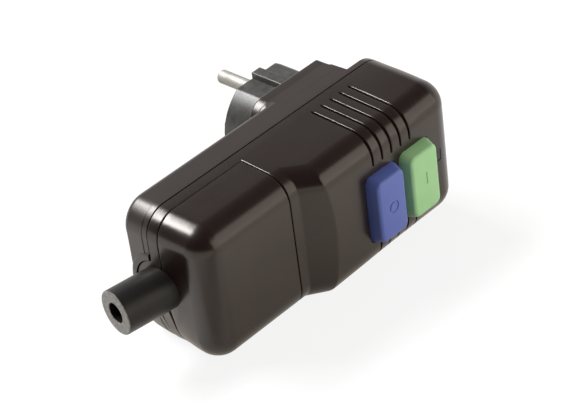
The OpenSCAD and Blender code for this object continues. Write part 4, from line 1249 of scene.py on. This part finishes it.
def floor_finish():
    """Pale floor: white to the eye; in gloss it carries painted shadow near the front and cable end, painted
    light beside both ends and a warm tint; it takes the shadow.
    """
    material, tree, shader, where = start_finish("floor pale")
    mottle = ramp(tree, noise(tree, where, 40.0, 3.0), 0.3, 0.7, 0.29, 0.32)
    tree.links.new(mottle, shader.inputs["Base Color"])
    shader.inputs["Roughness"].default_value = 0.9
    shader.inputs["Specular IOR Level"].default_value = 0.0
    faint = tree.nodes.new("ShaderNodeBsdfDiffuse")
    faint.inputs["Color"].default_value = (FLOOR_SHADE, FLOOR_SHADE, FLOOR_SHADE, 1)
    glow = tree.nodes.new("ShaderNodeEmission")
    path = tree.nodes.new("ShaderNodeLightPath")
    at = axes(tree, where)
    # Painted shadow seen only in gloss: the floor is darkened near the front and by the cable-end edge
    near_front = product(tree, ramp(tree, at["Y"], -0.115, -0.065, 0.0, 0.3),
                         ramp(tree, at["X"], -0.09, -0.075), ramp(tree, at["X"], -0.02, 0.01, 1.0, 0.3))
    near_edge = product(tree, ramp(tree, at["X"], -0.135, -0.12, 0.0, 0.4),
                        ramp(tree, at["X"], -0.097, -0.083, 1.0, 0.0),
                        ramp(tree, at["Y"], -0.066, -0.058, 1.0, 0.0))
    # Painted light seen only in gloss: the floor is brightened beside the cable end and the far end
    beside_end = product(tree, ramp(tree, at["X"], -0.1, -0.088, 1.0, 0.0),
                         ramp(tree, at["Y"], -0.062, -0.05))
    far_end = product(tree, ramp(tree, at["X"], 0.022, 0.05), ramp(tree, at["X"], 0.07, 0.11, 1.0, 0.0),
                      ramp(tree, at["Y"], -0.12, -0.06))
    painted_shadow_in_gloss = blend_math(tree, "ADD", near_front, near_edge)
    painted_light_in_gloss = blend_math(tree, "ADD", product(tree, far_end, FAR_GLOW), product(tree, beside_end, CABLE_GLOW))
    in_gloss = product(tree, blend_math(tree, "SUBTRACT", painted_shadow_in_gloss, painted_light_in_gloss), path.outputs["Is Glossy Ray"])
    cool = blend_math(tree, "ADD", far_end, product(tree, beside_end, 0.7))
    warm_share = blend_math(tree, "SUBTRACT", path.outputs["Is Glossy Ray"], cool)
    warm = mix_colour(tree, warm_share, (1.0, 1.0, 1.0), (1.0, 0.91, 0.81))
    tree.links.new(warm, glow.inputs["Color"])
    tree.links.new(blend_math(tree, "SUBTRACT", 1.0 - FLOOR_SHADE * 0.9, in_gloss), glow.inputs["Strength"])
    shown = tree.nodes.new("ShaderNodeAddShader")
    tree.links.new(faint.outputs["BSDF"], shown.inputs[0])
    tree.links.new(glow.outputs["Emission"], shown.inputs[1])
    seen = blend_math(tree, "MAXIMUM", path.outputs["Is Camera Ray"], path.outputs["Is Glossy Ray"])
    seen = blend_math(tree, "MAXIMUM", seen, path.outputs["Is Transmission Ray"])
    mix = tree.nodes.new("ShaderNodeMixShader")
    tree.links.new(seen, mix.inputs["Fac"])
    tree.links.new(shader.outputs["BSDF"], mix.inputs[1])
    tree.links.new(shown.outputs["Shader"], mix.inputs[2])
    tree.links.new(mix.outputs["Shader"], tree.nodes["Material Output"].inputs["Surface"])
    return material


def studio_world():
    """A dim room with a pale horizon and a paler wall on the far side."""
    world = bpy.data.worlds.new("studio")
    scene.world = world
    world.use_nodes = True
    tree = world.node_tree
    back = tree.nodes["Background"]
    way = tree.nodes.new("ShaderNodeTexCoord").outputs["Generated"]
    height = axes(tree, way)["Z"]
    wall = product(tree, ramp(tree, height, 0.2, 0.79, 0.85, 0.02),
                   ramp(tree, share_along(tree, way, (0.64, 0.77, 0.0)), -0.2, 0.5))
    room = blend_math(tree, "ADD", wall, 0.07)
    horizon = product(tree, ramp(tree, height, 0.12, 0.22, 1.0, 0.0),
                      ramp(tree, share_along(tree, way, (0.766, 0.643, 0.0)), -0.35, 0.35))
    tree.links.new(blend_math(tree, "MAXIMUM", room, horizon), back.inputs["Strength"])
    back.inputs["Color"].default_value = (1, 1, 1, 1)


def soft_box(name, azimuth, elevation, distance, size, glow, tint=(1, 1, 1), in_gloss=True):
    """An area lamp aimed at the object, given by its direction, size in metres and brightness."""
    a, e = math.radians(azimuth), math.radians(elevation)
    way = Vector((math.cos(e) * math.cos(a), math.cos(e) * math.sin(a), math.sin(e)))
    lamp = bpy.data.lights.new(name, "AREA")
    lamp.shape = "RECTANGLE"
    lamp.size, lamp.size_y = size
    lamp.energy = glow * 4 * size[0] * size[1]
    lamp.color = tint
    obj = bpy.data.objects.new(name, lamp)
    scene.collection.objects.link(obj)
    obj.location = Vector((-32, -35, 0)) * MM + way * distance
    obj.rotation_euler = way.to_track_quat("Z", "Y").to_euler()
    obj.visible_glossy = in_gloss


def floor_and_light():
    mesh = bpy.data.meshes.new("floor")
    low = -BODY_WIDTH / 2 * MM - 0.0001
    corners = ((-1, -1), (1, -1), (1, 1), (-1, 1))
    mesh.from_pydata([(sx * FLOOR_REACH, sy * FLOOR_REACH, low) for sx, sy in corners], [], [(0, 1, 2, 3)])
    floor = add_object("floor", mesh)
    mesh.materials.append(floor_finish())
    studio_world()
    soft_box("key soft box", 108, 50, 2.2, (1.5, 0.56), 23.0)
    soft_box("front wall", -68, 19, 1.8, (2.2, 1.25), 1.3, (1.0, 0.90, 0.80))
    soft_box("front fill", -76, 15, 2.0, (1.2, 1.2), 2.2, in_gloss=False)


def photo_camera():
    azimuth, elevation, roll = (math.radians(a) for a in (-42.907, 35.236, 7.938))
    focal_px, photo_px = 2173.205, 568
    shift_x, shift_y, distance = 7.454, -30.803, 724.137
    back = Vector((math.sin(azimuth) * math.cos(elevation), -math.cos(azimuth) * math.cos(elevation),
                   math.sin(elevation)))
    level = Vector((math.cos(azimuth), math.sin(azimuth), 0))
    above = back.cross(level)
    right = level * math.cos(roll) - above * math.sin(roll)
    up = level * math.sin(roll) + above * math.cos(roll)
    lens = bpy.data.cameras.new("photo camera")
    lens.sensor_fit = "HORIZONTAL"
    lens.sensor_width = 36.0
    lens.lens = focal_px / photo_px * lens.sensor_width
    lens.clip_start, lens.clip_end = 0.01, 20.0
    camera = bpy.data.objects.new("photo camera", lens)
    scene.collection.objects.link(camera)
    spot = (right * shift_x + up * shift_y + back * distance) * MM
    turn = Matrix((right, up, back)).transposed().to_4x4()
    camera.matrix_world = Matrix.Translation(spot) @ turn
    scene.camera = camera


floor_and_light()
photo_camera()
scene.view_settings.view_transform = "Standard"
